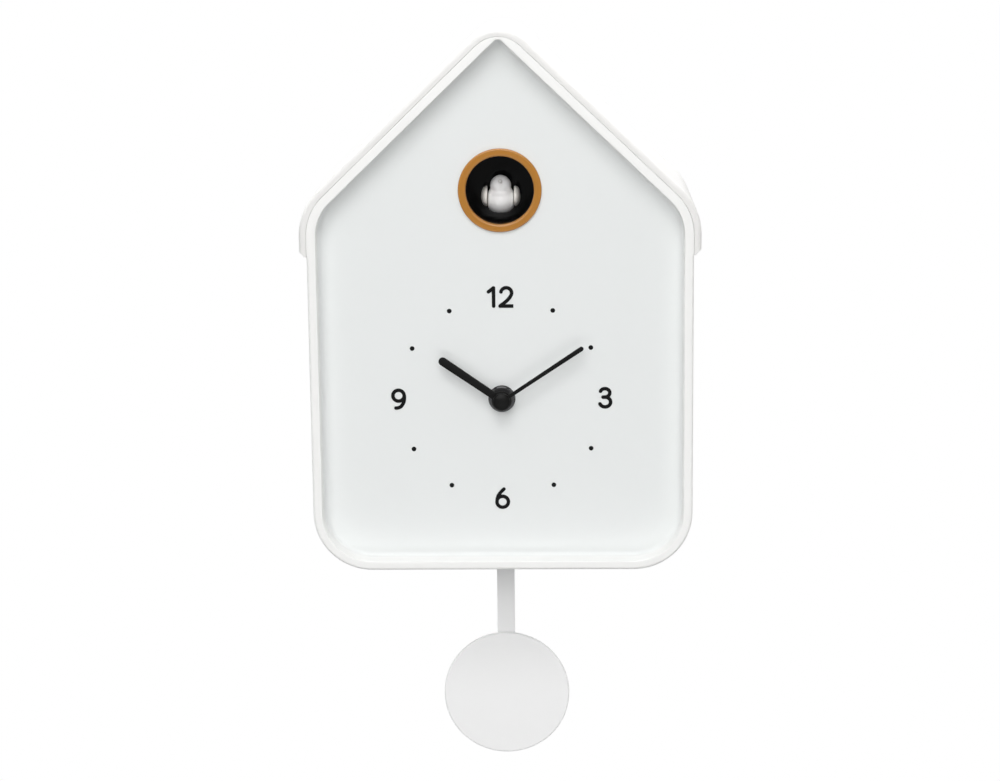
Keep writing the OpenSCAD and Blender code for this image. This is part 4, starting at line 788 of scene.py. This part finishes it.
for side, node_name, body in ((-1, "bird_wing_left", "left_wing"), (1, "bird_wing_right", "right_wing")):
    wing_low, wing_high = (v * 1000 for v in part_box(node_name))
    y_mid, z_mid = (wing_low.y + wing_high.y) / 2, (wing_low.z + wing_high.z) / 2
    long_r, tall_r = (wing_high.y - wing_low.y) / 2, (wing_high.z - wing_low.z) / 2
    root = wing_high.x if side < 0 else wing_low.x
    thick = abs(wing_high.x - wing_low.x)
    points, faces, around, rings = [], [], 56, 14
    for ring_no in range(rings + 1):
        reach = math.sin(math.pi / 2 * ring_no / rings)
        for k in range(around):
            a = 2 * math.pi * k / around
            swell = 1 - 0.16 * max(0.0, math.cos(a - math.radians(35))) ** 3
            y = y_mid + long_r * reach * math.cos(a) * swell
            z = z_mid - tall_r * reach * math.sin(a) * (1 - 0.10 * max(0.0, math.cos(a)))
            drop = math.cos(math.pi / 2 * ring_no / rings)
            points.append((root + side * (0.5 + (thick - 0.5) * drop ** 0.9), y, z))
    for k in range(around):
        x, y, z = points[rings * around + k]
        points.append((root, y_mid + (y - y_mid) * 0.95, z_mid + (z - z_mid) * 0.95))
    for i in range(rings + 1):
        faces += [(i * around + k, i * around + (k + 1) % around, (i + 1) * around + (k + 1) % around,
                   (i + 1) * around + k)
                  for k in range(around)]
    hub = len(points)
    peg_y, peg_z = head_y + 1.0, bird_low.z + 11.4
    socket_rim = [(root, peg_y + 0.96 * math.cos(2 * math.pi * k / 24),
                   peg_z + 0.96 * math.sin(2 * math.pi * k / 24))
                  for k in range(24)]
    socket_end = [(root + side * 1.9, y, z) for _, y, z in socket_rim]
    points += socket_rim + socket_end
    outer = [(rings + 1) * around + k for k in range(around)]
    flat = outer + [hub + k for k in range(24)]
    triangles = tessellate_polygon([[Vector((points[i][1], points[i][2], 0)) for i in outer],
                                    [Vector((points[hub + k][1], points[hub + k][2], 0))
                                     for k in range(24)]])
    faces += [(flat[a], flat[b], flat[c]) for a, b, c in triangles]
    faces += [(hub + k, hub + (k + 1) % 24, hub + 24 + (k + 1) % 24, hub + 24 + k) for k in range(24)]
    faces.append([hub + 24 + k for k in range(24)])
    wing = make_piece(node_name + "_moulding", points, faces, crease=45)
    fit_in(wing, body, "wing_cream", wing_cream, node_name)

# ---- Bird's slide, drive and frame -----------------------------------------------------
# A grey nylon slide with a rack runs in a channel behind the back plate. A small motor drives
# it through a brass pinion and a large gear; a grey frame holds both.

grey_nylon = moulded("grey_nylon", (0.20, 0.20, 0.205), 0.46, clouding=0.12, unevenness=0.06,
                     grain_size=0.0005,
                     depth=0.000012)
ivory_nylon = moulded("ivory_nylon", (0.78, 0.73, 0.60), 0.40, clouding=0.06, unevenness=0.05,
                      grain_size=0.0004,
                      depth=0.000006)
for node_name in ("bird_carriage", "bird_rail", "mechanism_frame"):
    dress(node_name, grey_nylon)
dress("bird_drive_gear", ivory_nylon)

# Effect that the metal parts share: fine lines along one direction, uneven polish and faint
# specks
metal_lines = bpy.data.node_groups.new("metal_lines", "ShaderNodeTree")
for socket_name, kind, value in [("Colour", "NodeSocketColor", (0.6, 0.6, 0.6, 1)),
                                 ("Gloss", "NodeSocketFloat", 0.3),
                                 ("Line Density", "NodeSocketVector", (200.0, 4000.0, 4000.0)),
                                 ("Tarnish", "NodeSocketFloat", 0.15)]:
    socket = metal_lines.interface.new_socket(socket_name, in_out="INPUT", socket_type=kind)
    socket.default_value = value
for socket_name, kind in [("Colour", "NodeSocketColor"), ("Roughness", "NodeSocketFloat"),
                          ("Height", "NodeSocketFloat")]:
    metal_lines.interface.new_socket(socket_name, in_out="OUTPUT", socket_type=kind)
inside = add_node(metal_lines, "NodeGroupInput")
outside = add_node(metal_lines, "NodeGroupOutput")
place = add_node(metal_lines, "ShaderNodeTexCoord")
stretch = add_node(metal_lines, "ShaderNodeVectorMath", operation="MULTIPLY")
join(metal_lines, place.outputs["Object"], stretch.inputs[0])
join(metal_lines, inside.outputs["Line Density"], stretch.inputs[1])
lines = add_node(metal_lines, "ShaderNodeTexNoise", Scale=1.0, Detail=3.0, Roughness=0.6)
join(metal_lines, stretch.outputs[0], lines.inputs["Vector"])
stains = add_node(metal_lines, "ShaderNodeTexNoise", Scale=260.0, Detail=4.0, Roughness=0.65)
join(metal_lines, place.outputs["Object"], stains.inputs["Vector"])
much = add_node(metal_lines, "ShaderNodeMath", operation="MULTIPLY")
join(metal_lines, stains.outputs["Fac"], much.inputs[0])
join(metal_lines, inside.outputs["Tarnish"], much.inputs[1])
dull = add_node(metal_lines, "ShaderNodeMix", data_type="RGBA", blend_type="MULTIPLY")
colours = [s for s in dull.inputs if s.type == "RGBA"]
colours[1].default_value = (0.30, 0.28, 0.25, 1)
join(metal_lines, much.outputs[0], dull.inputs[0])
join(metal_lines, inside.outputs["Colour"], colours[0])
join(metal_lines, [s for s in dull.outputs if s.type == "RGBA"][0], outside.inputs["Colour"])
streak = add_node(metal_lines, "ShaderNodeMath", operation="MULTIPLY_ADD")
streak.inputs[1].default_value = 0.16
join(metal_lines, lines.outputs["Fac"], streak.inputs[0])
join(metal_lines, inside.outputs["Gloss"], streak.inputs[2])
join(metal_lines, streak.outputs[0], outside.inputs["Roughness"])
join(metal_lines, lines.outputs["Fac"], outside.inputs["Height"])


def metal(name, colour, gloss, density=(300.0, 5000.0, 5000.0), tarnish=0.12, depth=0.000004, metallic=1.0,
          coat=0.0):
    """Metal or lacquered wire: its own shader, fed by the shared metal effect."""
    material = bpy.data.materials.new(name)
    material.use_nodes = True
    tree = material.node_tree
    shader = tree.nodes["Principled BSDF"]
    shader.inputs["Metallic"].default_value = metallic
    shader.inputs["Coat Weight"].default_value = coat
    effect = add_node(tree, "ShaderNodeGroup")
    effect.node_tree = metal_lines
    effect.name = "metal_lines"
    effect.inputs["Colour"].default_value = (*colour, 1)
    effect.inputs["Gloss"].default_value = gloss
    effect.inputs["Line Density"].default_value = density
    effect.inputs["Tarnish"].default_value = tarnish
    bump = add_node(tree, "ShaderNodeBump", Strength=1.0, Distance=depth)
    join(tree, effect.outputs["Height"], bump.inputs["Height"])
    join(tree, effect.outputs["Colour"], shader.inputs["Base Color"])
    join(tree, effect.outputs["Roughness"], shader.inputs["Roughness"])
    join(tree, bump.outputs["Normal"], shader.inputs["Normal"])
    return material


steel = metal("steel", (0.62, 0.62, 0.61), 0.26)
bright_metal = metal("bright_metal", (0.74, 0.74, 0.75), 0.12, density=(5000.0, 300.0, 5000.0),
                     tarnish=0.06)
brass = metal("brass", (0.80, 0.58, 0.24), 0.22, density=(5000.0, 300.0, 5000.0), tarnish=0.2)
dress("bird_motor", bright_metal)
dress("motor_pinion", brass)
for node_name in ("cover_screws", "roof_screws", "niche_screws", "mechanism_screws", "driver_screws",
                  "board_screws",
                  "pivot_pin", "stator"):
    dress(node_name, steel)

# ---- Quartz movement: case, rubber washer and nut --------------------------------------
# A square black case behind the face. Its threaded neck comes through the face, with a thin
# rubber washer and a round notched nut of dark nickel plate.

movement_black = moulded("movement_black", (0.022, 0.022, 0.024), 0.44, clouding=0.15, unevenness=0.06,
                         grain_size=0.0004,
                         depth=0.00002)
washer_black = moulded("washer_black", (0.018, 0.018, 0.018), 0.62, clouding=0.2, unevenness=0.05,
                       grain_size=0.0004,
                       depth=0.00001)
for node_name in ("movement_case", "movement_lid", "driver_case", "driver_lid"):
    dress(node_name, movement_black)

washer = turned("washer_cut", [(4.1, face_y), (7.3, face_y), (7.4, face_y - 0.1), (7.4, face_y - 0.5),
                               (7.3, face_y - 0.6),
                               (4.1, face_y - 0.6)], 0, dial_z, steps=96, closed=True)
fit_in(washer, "housing", "washer_black", washer_black, "dial_washer")

nut_rear, nut_front, nut_r = nut_high.y * 1000, nut_low.y * 1000, (nut_high.x - nut_low.x) * 500
nut_steel = metal("nut_steel", (0.12, 0.12, 0.123), 0.3, density=(1800.0, 1800.0, 1800.0), tarnish=0.2,
                  depth=0.000003)
nut = turned("nut_turned",
             [(4.02, nut_rear), (nut_r - 0.2, nut_rear), (nut_r, nut_rear - 0.2), (nut_r, nut_front + 0.55)]
             + [(nut_r - 0.55 + 0.55 * math.cos(math.radians(a)),
                 nut_front + 0.55 - 0.55 * math.sin(math.radians(a)))
                for a in range(15, 91, 15)]
             + [(nut_r - 0.8, nut_front), (4.5, nut_front), (4.35, nut_front + 0.02),
                (4.1, nut_front + 0.15), (4.02, nut_front + 0.35)],
             0, dial_z, steps=144, closed=True)
# the notches are cut by a ring of small blocks
notch_tree = bpy.data.node_groups.new("nut_notches", "GeometryNodeTree")
for socket_name, kind in [("Count", "NodeSocketInt"), ("Ring Radius", "NodeSocketFloat"),
                          ("Size", "NodeSocketVector"),
                          ("Middle", "NodeSocketVector"), ("Metal", "NodeSocketMaterial")]:
    notch_tree.interface.new_socket(socket_name, in_out="INPUT", socket_type=kind)
notch_tree.interface.new_socket("Geometry", in_out="OUTPUT", socket_type="NodeSocketGeometry")
given = add_node(notch_tree, "NodeGroupInput")
result = add_node(notch_tree, "NodeGroupOutput")
order = add_node(notch_tree, "GeometryNodeInputIndex")
share = add_node(notch_tree, "ShaderNodeMath", operation="DIVIDE")
join(notch_tree, order.outputs[0], share.inputs[0])
join(notch_tree, given.outputs["Count"], share.inputs[1])
angle = add_node(notch_tree, "ShaderNodeMath", operation="MULTIPLY")
angle.inputs[1].default_value = 2 * math.pi
join(notch_tree, share.outputs[0], angle.inputs[0])
sine = add_node(notch_tree, "ShaderNodeMath", operation="SINE")
cosine = add_node(notch_tree, "ShaderNodeMath", operation="COSINE")
join(notch_tree, angle.outputs[0], sine.inputs[0])
join(notch_tree, angle.outputs[0], cosine.inputs[0])
place = add_node(notch_tree, "ShaderNodeCombineXYZ")
join(notch_tree, cosine.outputs[0], place.inputs["X"])
join(notch_tree, sine.outputs[0], place.inputs["Z"])
out_along = add_node(notch_tree, "ShaderNodeVectorMath", operation="SCALE")
join(notch_tree, place.outputs[0], out_along.inputs[0])
join(notch_tree, given.outputs["Ring Radius"], out_along.inputs["Scale"])
at = add_node(notch_tree, "ShaderNodeVectorMath", operation="ADD")
join(notch_tree, out_along.outputs[0], at.inputs[0])
join(notch_tree, given.outputs["Middle"], at.inputs[1])
places = add_node(notch_tree, "GeometryNodePoints")
join(notch_tree, given.outputs["Count"], places.inputs["Count"])
join(notch_tree, at.outputs[0], places.inputs["Position"])
tooth = add_node(notch_tree, "GeometryNodeMeshCube")
join(notch_tree, given.outputs["Size"], tooth.inputs["Size"])
minus = add_node(notch_tree, "ShaderNodeMath", operation="MULTIPLY")
minus.inputs[1].default_value = -1.0
join(notch_tree, angle.outputs[0], minus.inputs[0])
turn = add_node(notch_tree, "ShaderNodeCombineXYZ")
join(notch_tree, minus.outputs[0], turn.inputs["Y"])
put = add_node(notch_tree, "GeometryNodeInstanceOnPoints")
join(notch_tree, places.outputs[0], put.inputs["Points"])
join(notch_tree, tooth.outputs["Mesh"], put.inputs["Instance"])
as_turn = add_node(notch_tree, "FunctionNodeEulerToRotation")
join(notch_tree, turn.outputs[0], as_turn.inputs[0])
join(notch_tree, as_turn.outputs[0], put.inputs["Rotation"])
real = add_node(notch_tree, "GeometryNodeRealizeInstances")
join(notch_tree, put.outputs[0], real.inputs[0])
plated = add_node(notch_tree, "GeometryNodeSetMaterial")
join(notch_tree, real.outputs[0], plated.inputs["Geometry"])
join(notch_tree, given.outputs["Metal"], plated.inputs["Material"])
join(notch_tree, plated.outputs[0], result.inputs[0])
notches = grow("notches", notch_tree, count=6, ring_radius=(nut_r + 0.3) / 1000,
               size=(0.0020, 0.0028, 0.0018),
               middle=(0.0, nut_front / 1000, dial_z / 1000), metal=nut_steel)
carve(nut, notches)
fit_in(nut, "housing", "nut_steel", nut_steel, "dial_nut")

# ---- Hands and their cap ---------------------------------------------------------------
# Two flat hands with round ends, painted satin black, pressed on the hour tube and on the
# minute arbor. A domed cap in the same black covers the hub.

hand_black = moulded("hand_black", (0.004, 0.004, 0.0038), 0.42, clouding=0.15, unevenness=0.05,
                     grain_size=0.0003,
                     depth=0.000004, specular=0.17)


def cut_hand(name, node_name, body, length, tip_w, root_w, hub_r, hole_r, turned_by):
    low, high = (v * 1000 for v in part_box(node_name))
    tip = tip_w / 2
    aside = math.sqrt(hub_r ** 2 - (root_w / 2) ** 2)
    outline = [(tip, length - tip)] + bend(0, length - tip, tip, 0, 180, 28)[1:]
    from_a = math.degrees(math.atan2(aside, -root_w / 2))
    to_a = 360 + math.degrees(math.atan2(aside, root_w / 2))
    outline += bend(0, 0, hub_r, from_a, to_a, 72)
    hole = bend(0, 0, hole_r, 0, 360, 48)[:-1]
    c, s = math.cos(math.radians(turned_by)), math.sin(math.radians(turned_by))
    loops = [[(x * c + z * s, -x * s + z * c + dial_z) for x, z in loop] for loop in (outline, hole)]
    flat = loops[0] + loops[1]
    n, m = len(loops[0]), len(loops[1])
    points = [(x, low.y, z) for x, z in flat] + [(x, high.y, z) for x, z in flat]
    triangles = tessellate_polygon([[Vector((x, z, 0)) for x, z in loop] for loop in loops])
    faces = [tuple(t) for t in triangles] + [tuple(i + n + m for i in reversed(t)) for t in triangles]
    faces += [(k, (k + 1) % n, (k + 1) % n + n + m, k + n + m) for k in range(n)]
    faces += [(n + k, n + (k + 1) % m, n + (k + 1) % m + n + m, n + k + n + m) for k in range(m)]
    hand = make_piece(name, points, faces)
    bm = bmesh.new()
    bm.from_mesh(hand.data)
    bmesh.ops.dissolve_limit(bm, angle_limit=math.radians(1), verts=bm.verts, edges=bm.edges)
    bm.to_mesh(hand.data)
    bm.free()
    edge = hand.modifiers.new("edge", "BEVEL")
    edge.width, edge.segments, edge.limit_method, edge.angle_limit = 0.00022, 3, "ANGLE", math.radians(50)
    settle(hand)
    hand.data.shade_smooth()
    hand.data.set_sharp_from_angle(angle=math.radians(40))
    return fit_in(hand, body, "hand_black", hand_black, node_name)


clock_turn = {"hour": 304.7, "minute": 56.4}
cut_hand("hour_hand_cut", "hour_hand", "hour_hand", 41.0, 4.6, 4.1, 5.4, 2.46, clock_turn["hour"])
cut_hand("minute_hand_cut", "minute_hand", "minute_hand", 53.5, 2.5, 1.9, 4.6, 1.5, clock_turn["minute"])

cap_low, cap_high = (v * 1000 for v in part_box("hand_cap"))
cap_r = (cap_high.x - cap_low.x) / 2
cap = turned("cap_turned",
             [(0, cap_high.y), (cap_r - 0.25, cap_high.y), (cap_r, cap_high.y - 0.25),
              (cap_r, cap_high.y - 0.9)]
             + [(cap_r * math.cos(math.radians(a)),
                 cap_high.y - 0.9 - (cap_high.y - 0.9 - cap_low.y) * math.sin(math.radians(a)))
                for a in range(9, 90, 9)] + [(0, cap_low.y)], 0, dial_z, steps=96, crease=50)
fit_in(cap, "minute_hand", "hand_black", hand_black, "hand_cap")

# ---- Wheels, rotor and coil of the movement --------------------------------------------
# Acetal wheels with a brass centre wheel, a magnet rotor in a soft-iron plate, and a coil of
# lacquered copper wire wound between two flanges.

for node_name in ("hour_wheel", "minute_wheel", "third_wheel", "seconds_wheel", "fifth_wheel"):
    dress(node_name, ivory_nylon)
dress("centre_wheel", brass)
dress("rotor", bright_metal)
board_green = moulded("board_green", (0.012, 0.13, 0.055), 0.30, clouding=0.25, unevenness=0.08,
                      grain_size=0.0009,
                      depth=0.000012, coat=0.2)
dress("movement_board", board_green)
copper_wire = metal("copper_wire", (0.62, 0.24, 0.08), 0.24, density=(1500.0, 1500.0, 1500.0),
                    tarnish=0.25, metallic=0.85,
                    coat=0.4)

winding_tree = bpy.data.node_groups.new("coil_winding", "GeometryNodeTree")
for socket_name, kind in [("Turns", "NodeSocketFloat"), ("Coil Radius", "NodeSocketFloat"),
                          ("Coil Length", "NodeSocketFloat"),
                          ("Wire Radius", "NodeSocketFloat"), ("Core Radius", "NodeSocketFloat"),
                          ("Flange Radius", "NodeSocketFloat"), ("Wire", "NodeSocketMaterial")]:
    winding_tree.interface.new_socket(socket_name, in_out="INPUT", socket_type=kind)
winding_tree.interface.new_socket("Geometry", in_out="OUTPUT", socket_type="NodeSocketGeometry")
given = add_node(winding_tree, "NodeGroupInput")
result = add_node(winding_tree, "NodeGroupOutput")
helix = add_node(winding_tree, "GeometryNodeCurveSpiral", Resolution=14)
join(winding_tree, given.outputs["Turns"], helix.inputs["Rotations"])
join(winding_tree, given.outputs["Coil Radius"], helix.inputs["Start Radius"])
join(winding_tree, given.outputs["Coil Radius"], helix.inputs["End Radius"])
join(winding_tree, given.outputs["Coil Length"], helix.inputs["Height"])
strand = add_node(winding_tree, "GeometryNodeCurvePrimitiveCircle", Resolution=6)
join(winding_tree, given.outputs["Wire Radius"], strand.inputs["Radius"])
wound = add_node(winding_tree, "GeometryNodeCurveToMesh")
wound.inputs["Fill Caps"].default_value = True
join(winding_tree, helix.outputs[0], wound.inputs["Curve"])
join(winding_tree, strand.outputs[0], wound.inputs["Profile Curve"])
core = add_node(winding_tree, "GeometryNodeMeshCylinder", Vertices=40)
join(winding_tree, given.outputs["Core Radius"], core.inputs["Radius"])
join(winding_tree, given.outputs["Coil Length"], core.inputs["Depth"])
half_up = add_node(winding_tree, "ShaderNodeMath", operation="MULTIPLY")
half_up.inputs[1].default_value = 0.5
join(winding_tree, given.outputs["Coil Length"], half_up.inputs[0])
lift = add_node(winding_tree, "ShaderNodeCombineXYZ")
join(winding_tree, half_up.outputs[0], lift.inputs["Z"])
core_at = add_node(winding_tree, "GeometryNodeTransform")
join(winding_tree, core.outputs["Mesh"], core_at.inputs["Geometry"])
join(winding_tree, lift.outputs[0], core_at.inputs["Translation"])
flange = add_node(winding_tree, "GeometryNodeMeshCylinder", Vertices=40)
flange.inputs["Depth"].default_value = 0.0007
join(winding_tree, given.outputs["Flange Radius"], flange.inputs["Radius"])
ends = add_node(winding_tree, "GeometryNodeMeshLine", Count=2)
top = add_node(winding_tree, "ShaderNodeCombineXYZ")
join(winding_tree, given.outputs["Coil Length"], top.inputs["Z"])
join(winding_tree, top.outputs[0], ends.inputs["Offset"])
flanges = add_node(winding_tree, "GeometryNodeInstanceOnPoints")
join(winding_tree, ends.outputs[0], flanges.inputs["Points"])
join(winding_tree, flange.outputs["Mesh"], flanges.inputs["Instance"])
together = add_node(winding_tree, "GeometryNodeJoinGeometry")
join(winding_tree, flanges.outputs[0], together.inputs[0])
join(winding_tree, core_at.outputs[0], together.inputs[0])
join(winding_tree, wound.outputs[0], together.inputs[0])
real = add_node(winding_tree, "GeometryNodeRealizeInstances")
join(winding_tree, together.outputs[0], real.inputs[0])
lacquered = add_node(winding_tree, "GeometryNodeSetMaterial")
join(winding_tree, real.outputs[0], lacquered.inputs["Geometry"])
join(winding_tree, given.outputs["Wire"], lacquered.inputs["Material"])
join(winding_tree, lacquered.outputs[0], result.inputs[0])

coil_low, coil_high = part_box("stepper_coil")
coil_mid = (coil_low + coil_high) / 2
coil_r = (coil_high.x - coil_low.x) / 2 * 3.0 / 3.6
coil_l = coil_high.z - coil_low.z - 0.0008
stepper = grow("stepper_coil_winding", winding_tree, turns=38.0, coil_radius=coil_r - 0.00024,
               coil_length=coil_l,
               wire_radius=0.00024, core_radius=coil_r - 0.0004,
               flange_radius=(coil_high.x - coil_low.x) / 2, wire=copper_wire)
stepper.data.transform(Matrix.Translation((coil_mid.x, coil_mid.y, coil_low.z + 0.0004)))
fit_in(stepper, "housing", "copper_wire", copper_wire, "stepper_coil")

# ---- Pendulum driver -------------------------------------------------------------------
# A second black box under the movement holds a coil on a small board. The coil pushes a magnet
# in the arm, which hangs on a steel pin behind a spring clip.

dress("driver_board", board_green)
drive_low, drive_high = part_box("pendulum_coil")
drive_mid, drive_l = (drive_low + drive_high) / 2, drive_high.y - drive_low.y - 0.0007
driver_coil = grow("pendulum_coil_winding", winding_tree, turns=16.0, coil_radius=0.0067,
                   coil_length=drive_l,
                   wire_radius=0.00027, core_radius=0.0065, flange_radius=0.0079, wire=copper_wire)
driver_coil.data.transform(Matrix.Translation((drive_mid.x, drive_high.y - 0.00035, drive_mid.z))
                           @ Matrix.Rotation(math.pi / 2, 4, "X"))
fit_in(driver_coil, "housing", "copper_wire", copper_wire, "pendulum_coil")
dress("pivot_clip", grey_nylon)
dress("pendulum_arm", grey_nylon)
dress("pendulum_magnet", bright_metal)

# ---- Pendulum: rod and disc ------------------------------------------------------------
# A flat moulded rod hooks on the arm's pin and comes out through the slot in the bottom. A plain
# disc clips on its lower end; both are a pale satin grey white.

pendulum_grey = moulded("pendulum_grey", (0.93, 0.93, 0.928), 0.42, clouding=0.02, unevenness=0.03,
                        grain_size=0.0006,
                        depth=0.000005)
rod_low, rod_high = (v * 1000 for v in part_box("pendulum_rod"))
rod_hw, hook_z = (rod_high.x - rod_low.x) / 2, rod_high.z - (rod_high.x - rod_low.x) / 2
bob_low, bob_high = (v * 1000 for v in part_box("pendulum_bob"))
bob_r = (bob_high.x - bob_low.x) / 2
bob_z = bob_low.z + bob_r
outline = bend(0, hook_z, rod_hw, 0, 180, 40) + [(-rod_hw, rod_low.z), (rod_hw, rod_low.z)]
hole = bend(0, hook_z, 1.56, 0, 360, 40)[:-1]
flat = outline + hole
n, m = len(outline), len(hole)
points = [(x, rod_low.y, z) for x, z in flat] + [(x, rod_high.y, z) for x, z in flat]
triangles = tessellate_polygon([[Vector((x, z, 0)) for x, z in loop] for loop in (outline, hole)])
faces = [tuple(t) for t in triangles] + [tuple(i + n + m for i in reversed(t)) for t in triangles]
faces += [(k, (k + 1) % n, (k + 1) % n + n + m, k + n + m) for k in range(n)]
faces += [(n + k, n + (k + 1) % m, n + (k + 1) % m + n + m, n + k + n + m) for k in range(m)]
rod = make_piece("pendulum_rod_moulding", points, faces)
bm = bmesh.new()
bm.from_mesh(rod.data)
bmesh.ops.dissolve_limit(bm, angle_limit=math.radians(1), verts=bm.verts, edges=bm.edges)
bm.to_mesh(rod.data)
bm.free()
edge = rod.modifiers.new("edge", "BEVEL")
edge.width, edge.segments, edge.limit_method, edge.angle_limit = 0.00045, 4, "ANGLE", math.radians(50)
settle(rod)
rod.data.shade_smooth()
rod.data.set_sharp_from_angle(angle=math.radians(40))
fit_in(rod, "pendulum", "pendulum_grey", pendulum_grey, "pendulum_rod")

bob_front, bob_rear = bob_low.y, rod_low.y
bob = turned("pendulum_bob_moulding",
             [(0, bob_front), (bob_r - 1.2, bob_front)]
             + [(bob_r - 0.9 + 0.9 * math.sin(math.radians(a)), bob_front
                 + 0.9 - 0.9 * math.cos(math.radians(a)))
                for a in range(0, 91, 15)]
             + [(bob_r, bob_front + 1.1), (bob_r, bob_rear - 0.7), (bob_r - 0.1, bob_rear - 0.25),
                (bob_r - 0.5, bob_rear),
                (bob_r - 0.8, bob_rear), (0, bob_rear)], 0, bob_z, steps=192)
rib_out, rib_in = rod_hw + 1.65, rod_hw + 0.05
guide = [(-rib_out, bob_z - 6), (rib_out, bob_z - 6), (rib_out, bob_z + 16), (rib_in, bob_z + 16),
         (rib_in, bob_z - 0.05),
         (-rib_in, bob_z - 0.05), (-rib_in, bob_z + 16), (-rib_out, bob_z + 16)]
points = [(x, bob_rear - 0.6, z) for x, z in guide] + [(x, bob_high.y, z) for x, z in guide]
triangles = tessellate_polygon([[Vector((x, z, 0)) for x, z in guide]])
faces = [tuple(t) for t in triangles] + [tuple(i + 8 for i in reversed(t)) for t in triangles]
faces += [(k, (k + 1) % 8, (k + 1) % 8 + 8, k + 8) for k in range(8)]
guides = make_piece("guides", points, faces)
carve(bob, guides, "UNION")
fit_in(bob, "pendulum", "pendulum_grey", pendulum_grey, "pendulum_bob")

# ---- Back cover, battery door and controls ---------------------------------------------
# A screwed-on white back with a fine spark-eroded texture. It holds the keyhole, the speaker
# grille, the battery bay and its door, and the grey setting knob, slider and button.

back_white = moulded("back_white", (0.80, 0.80, 0.785), 0.52, clouding=0.03, unevenness=0.04,
                     grain_size=0.00045,
                     depth=0.00003)
dress("back_cover", back_white)
dress("battery_door", back_white)
knob_grey = moulded("knob_grey", (0.075, 0.075, 0.08), 0.46, clouding=0.12, unevenness=0.06,
                    grain_size=0.0004,
                    depth=0.000015)
for node_name in ("setting_knob", "volume_slider", "test_button"):
    dress(node_name, knob_grey)

# ---- Speaker and main board ------------------------------------------------------------
# A small speaker with a dark paper cone, and a green board with its dark chips, capacitors and
# connectors.

component_black = moulded("component_black", (0.035, 0.035, 0.038), 0.5, clouding=0.3, unevenness=0.1,
                          grain_size=0.0007,
                          depth=0.00002)
dress("speaker", component_black)
dress("board_parts", component_black)
dress("main_board", board_green)

# ---- Cells, contacts and leads ---------------------------------------------------------
# Three cells in plain lacquered steel cans lie across the bay between nickel contacts with coil
# springs. Red insulated leads run from the bay, speaker, motor and driver to the board.

cell_jacket = metal("cell_jacket", (0.33, 0.35, 0.38), 0.28, density=(400.0, 2500.0, 2500.0), tarnish=0.1,
                    coat=0.3)
dress("battery_cells", cell_jacket)
dress("battery_contacts", bright_metal)
wire_sheath = moulded("wire_sheath", (0.45, 0.02, 0.012), 0.42, clouding=0.1, unevenness=0.05,
                      grain_size=0.0005,
                      depth=0.00001)
dress("wires", wire_sheath)
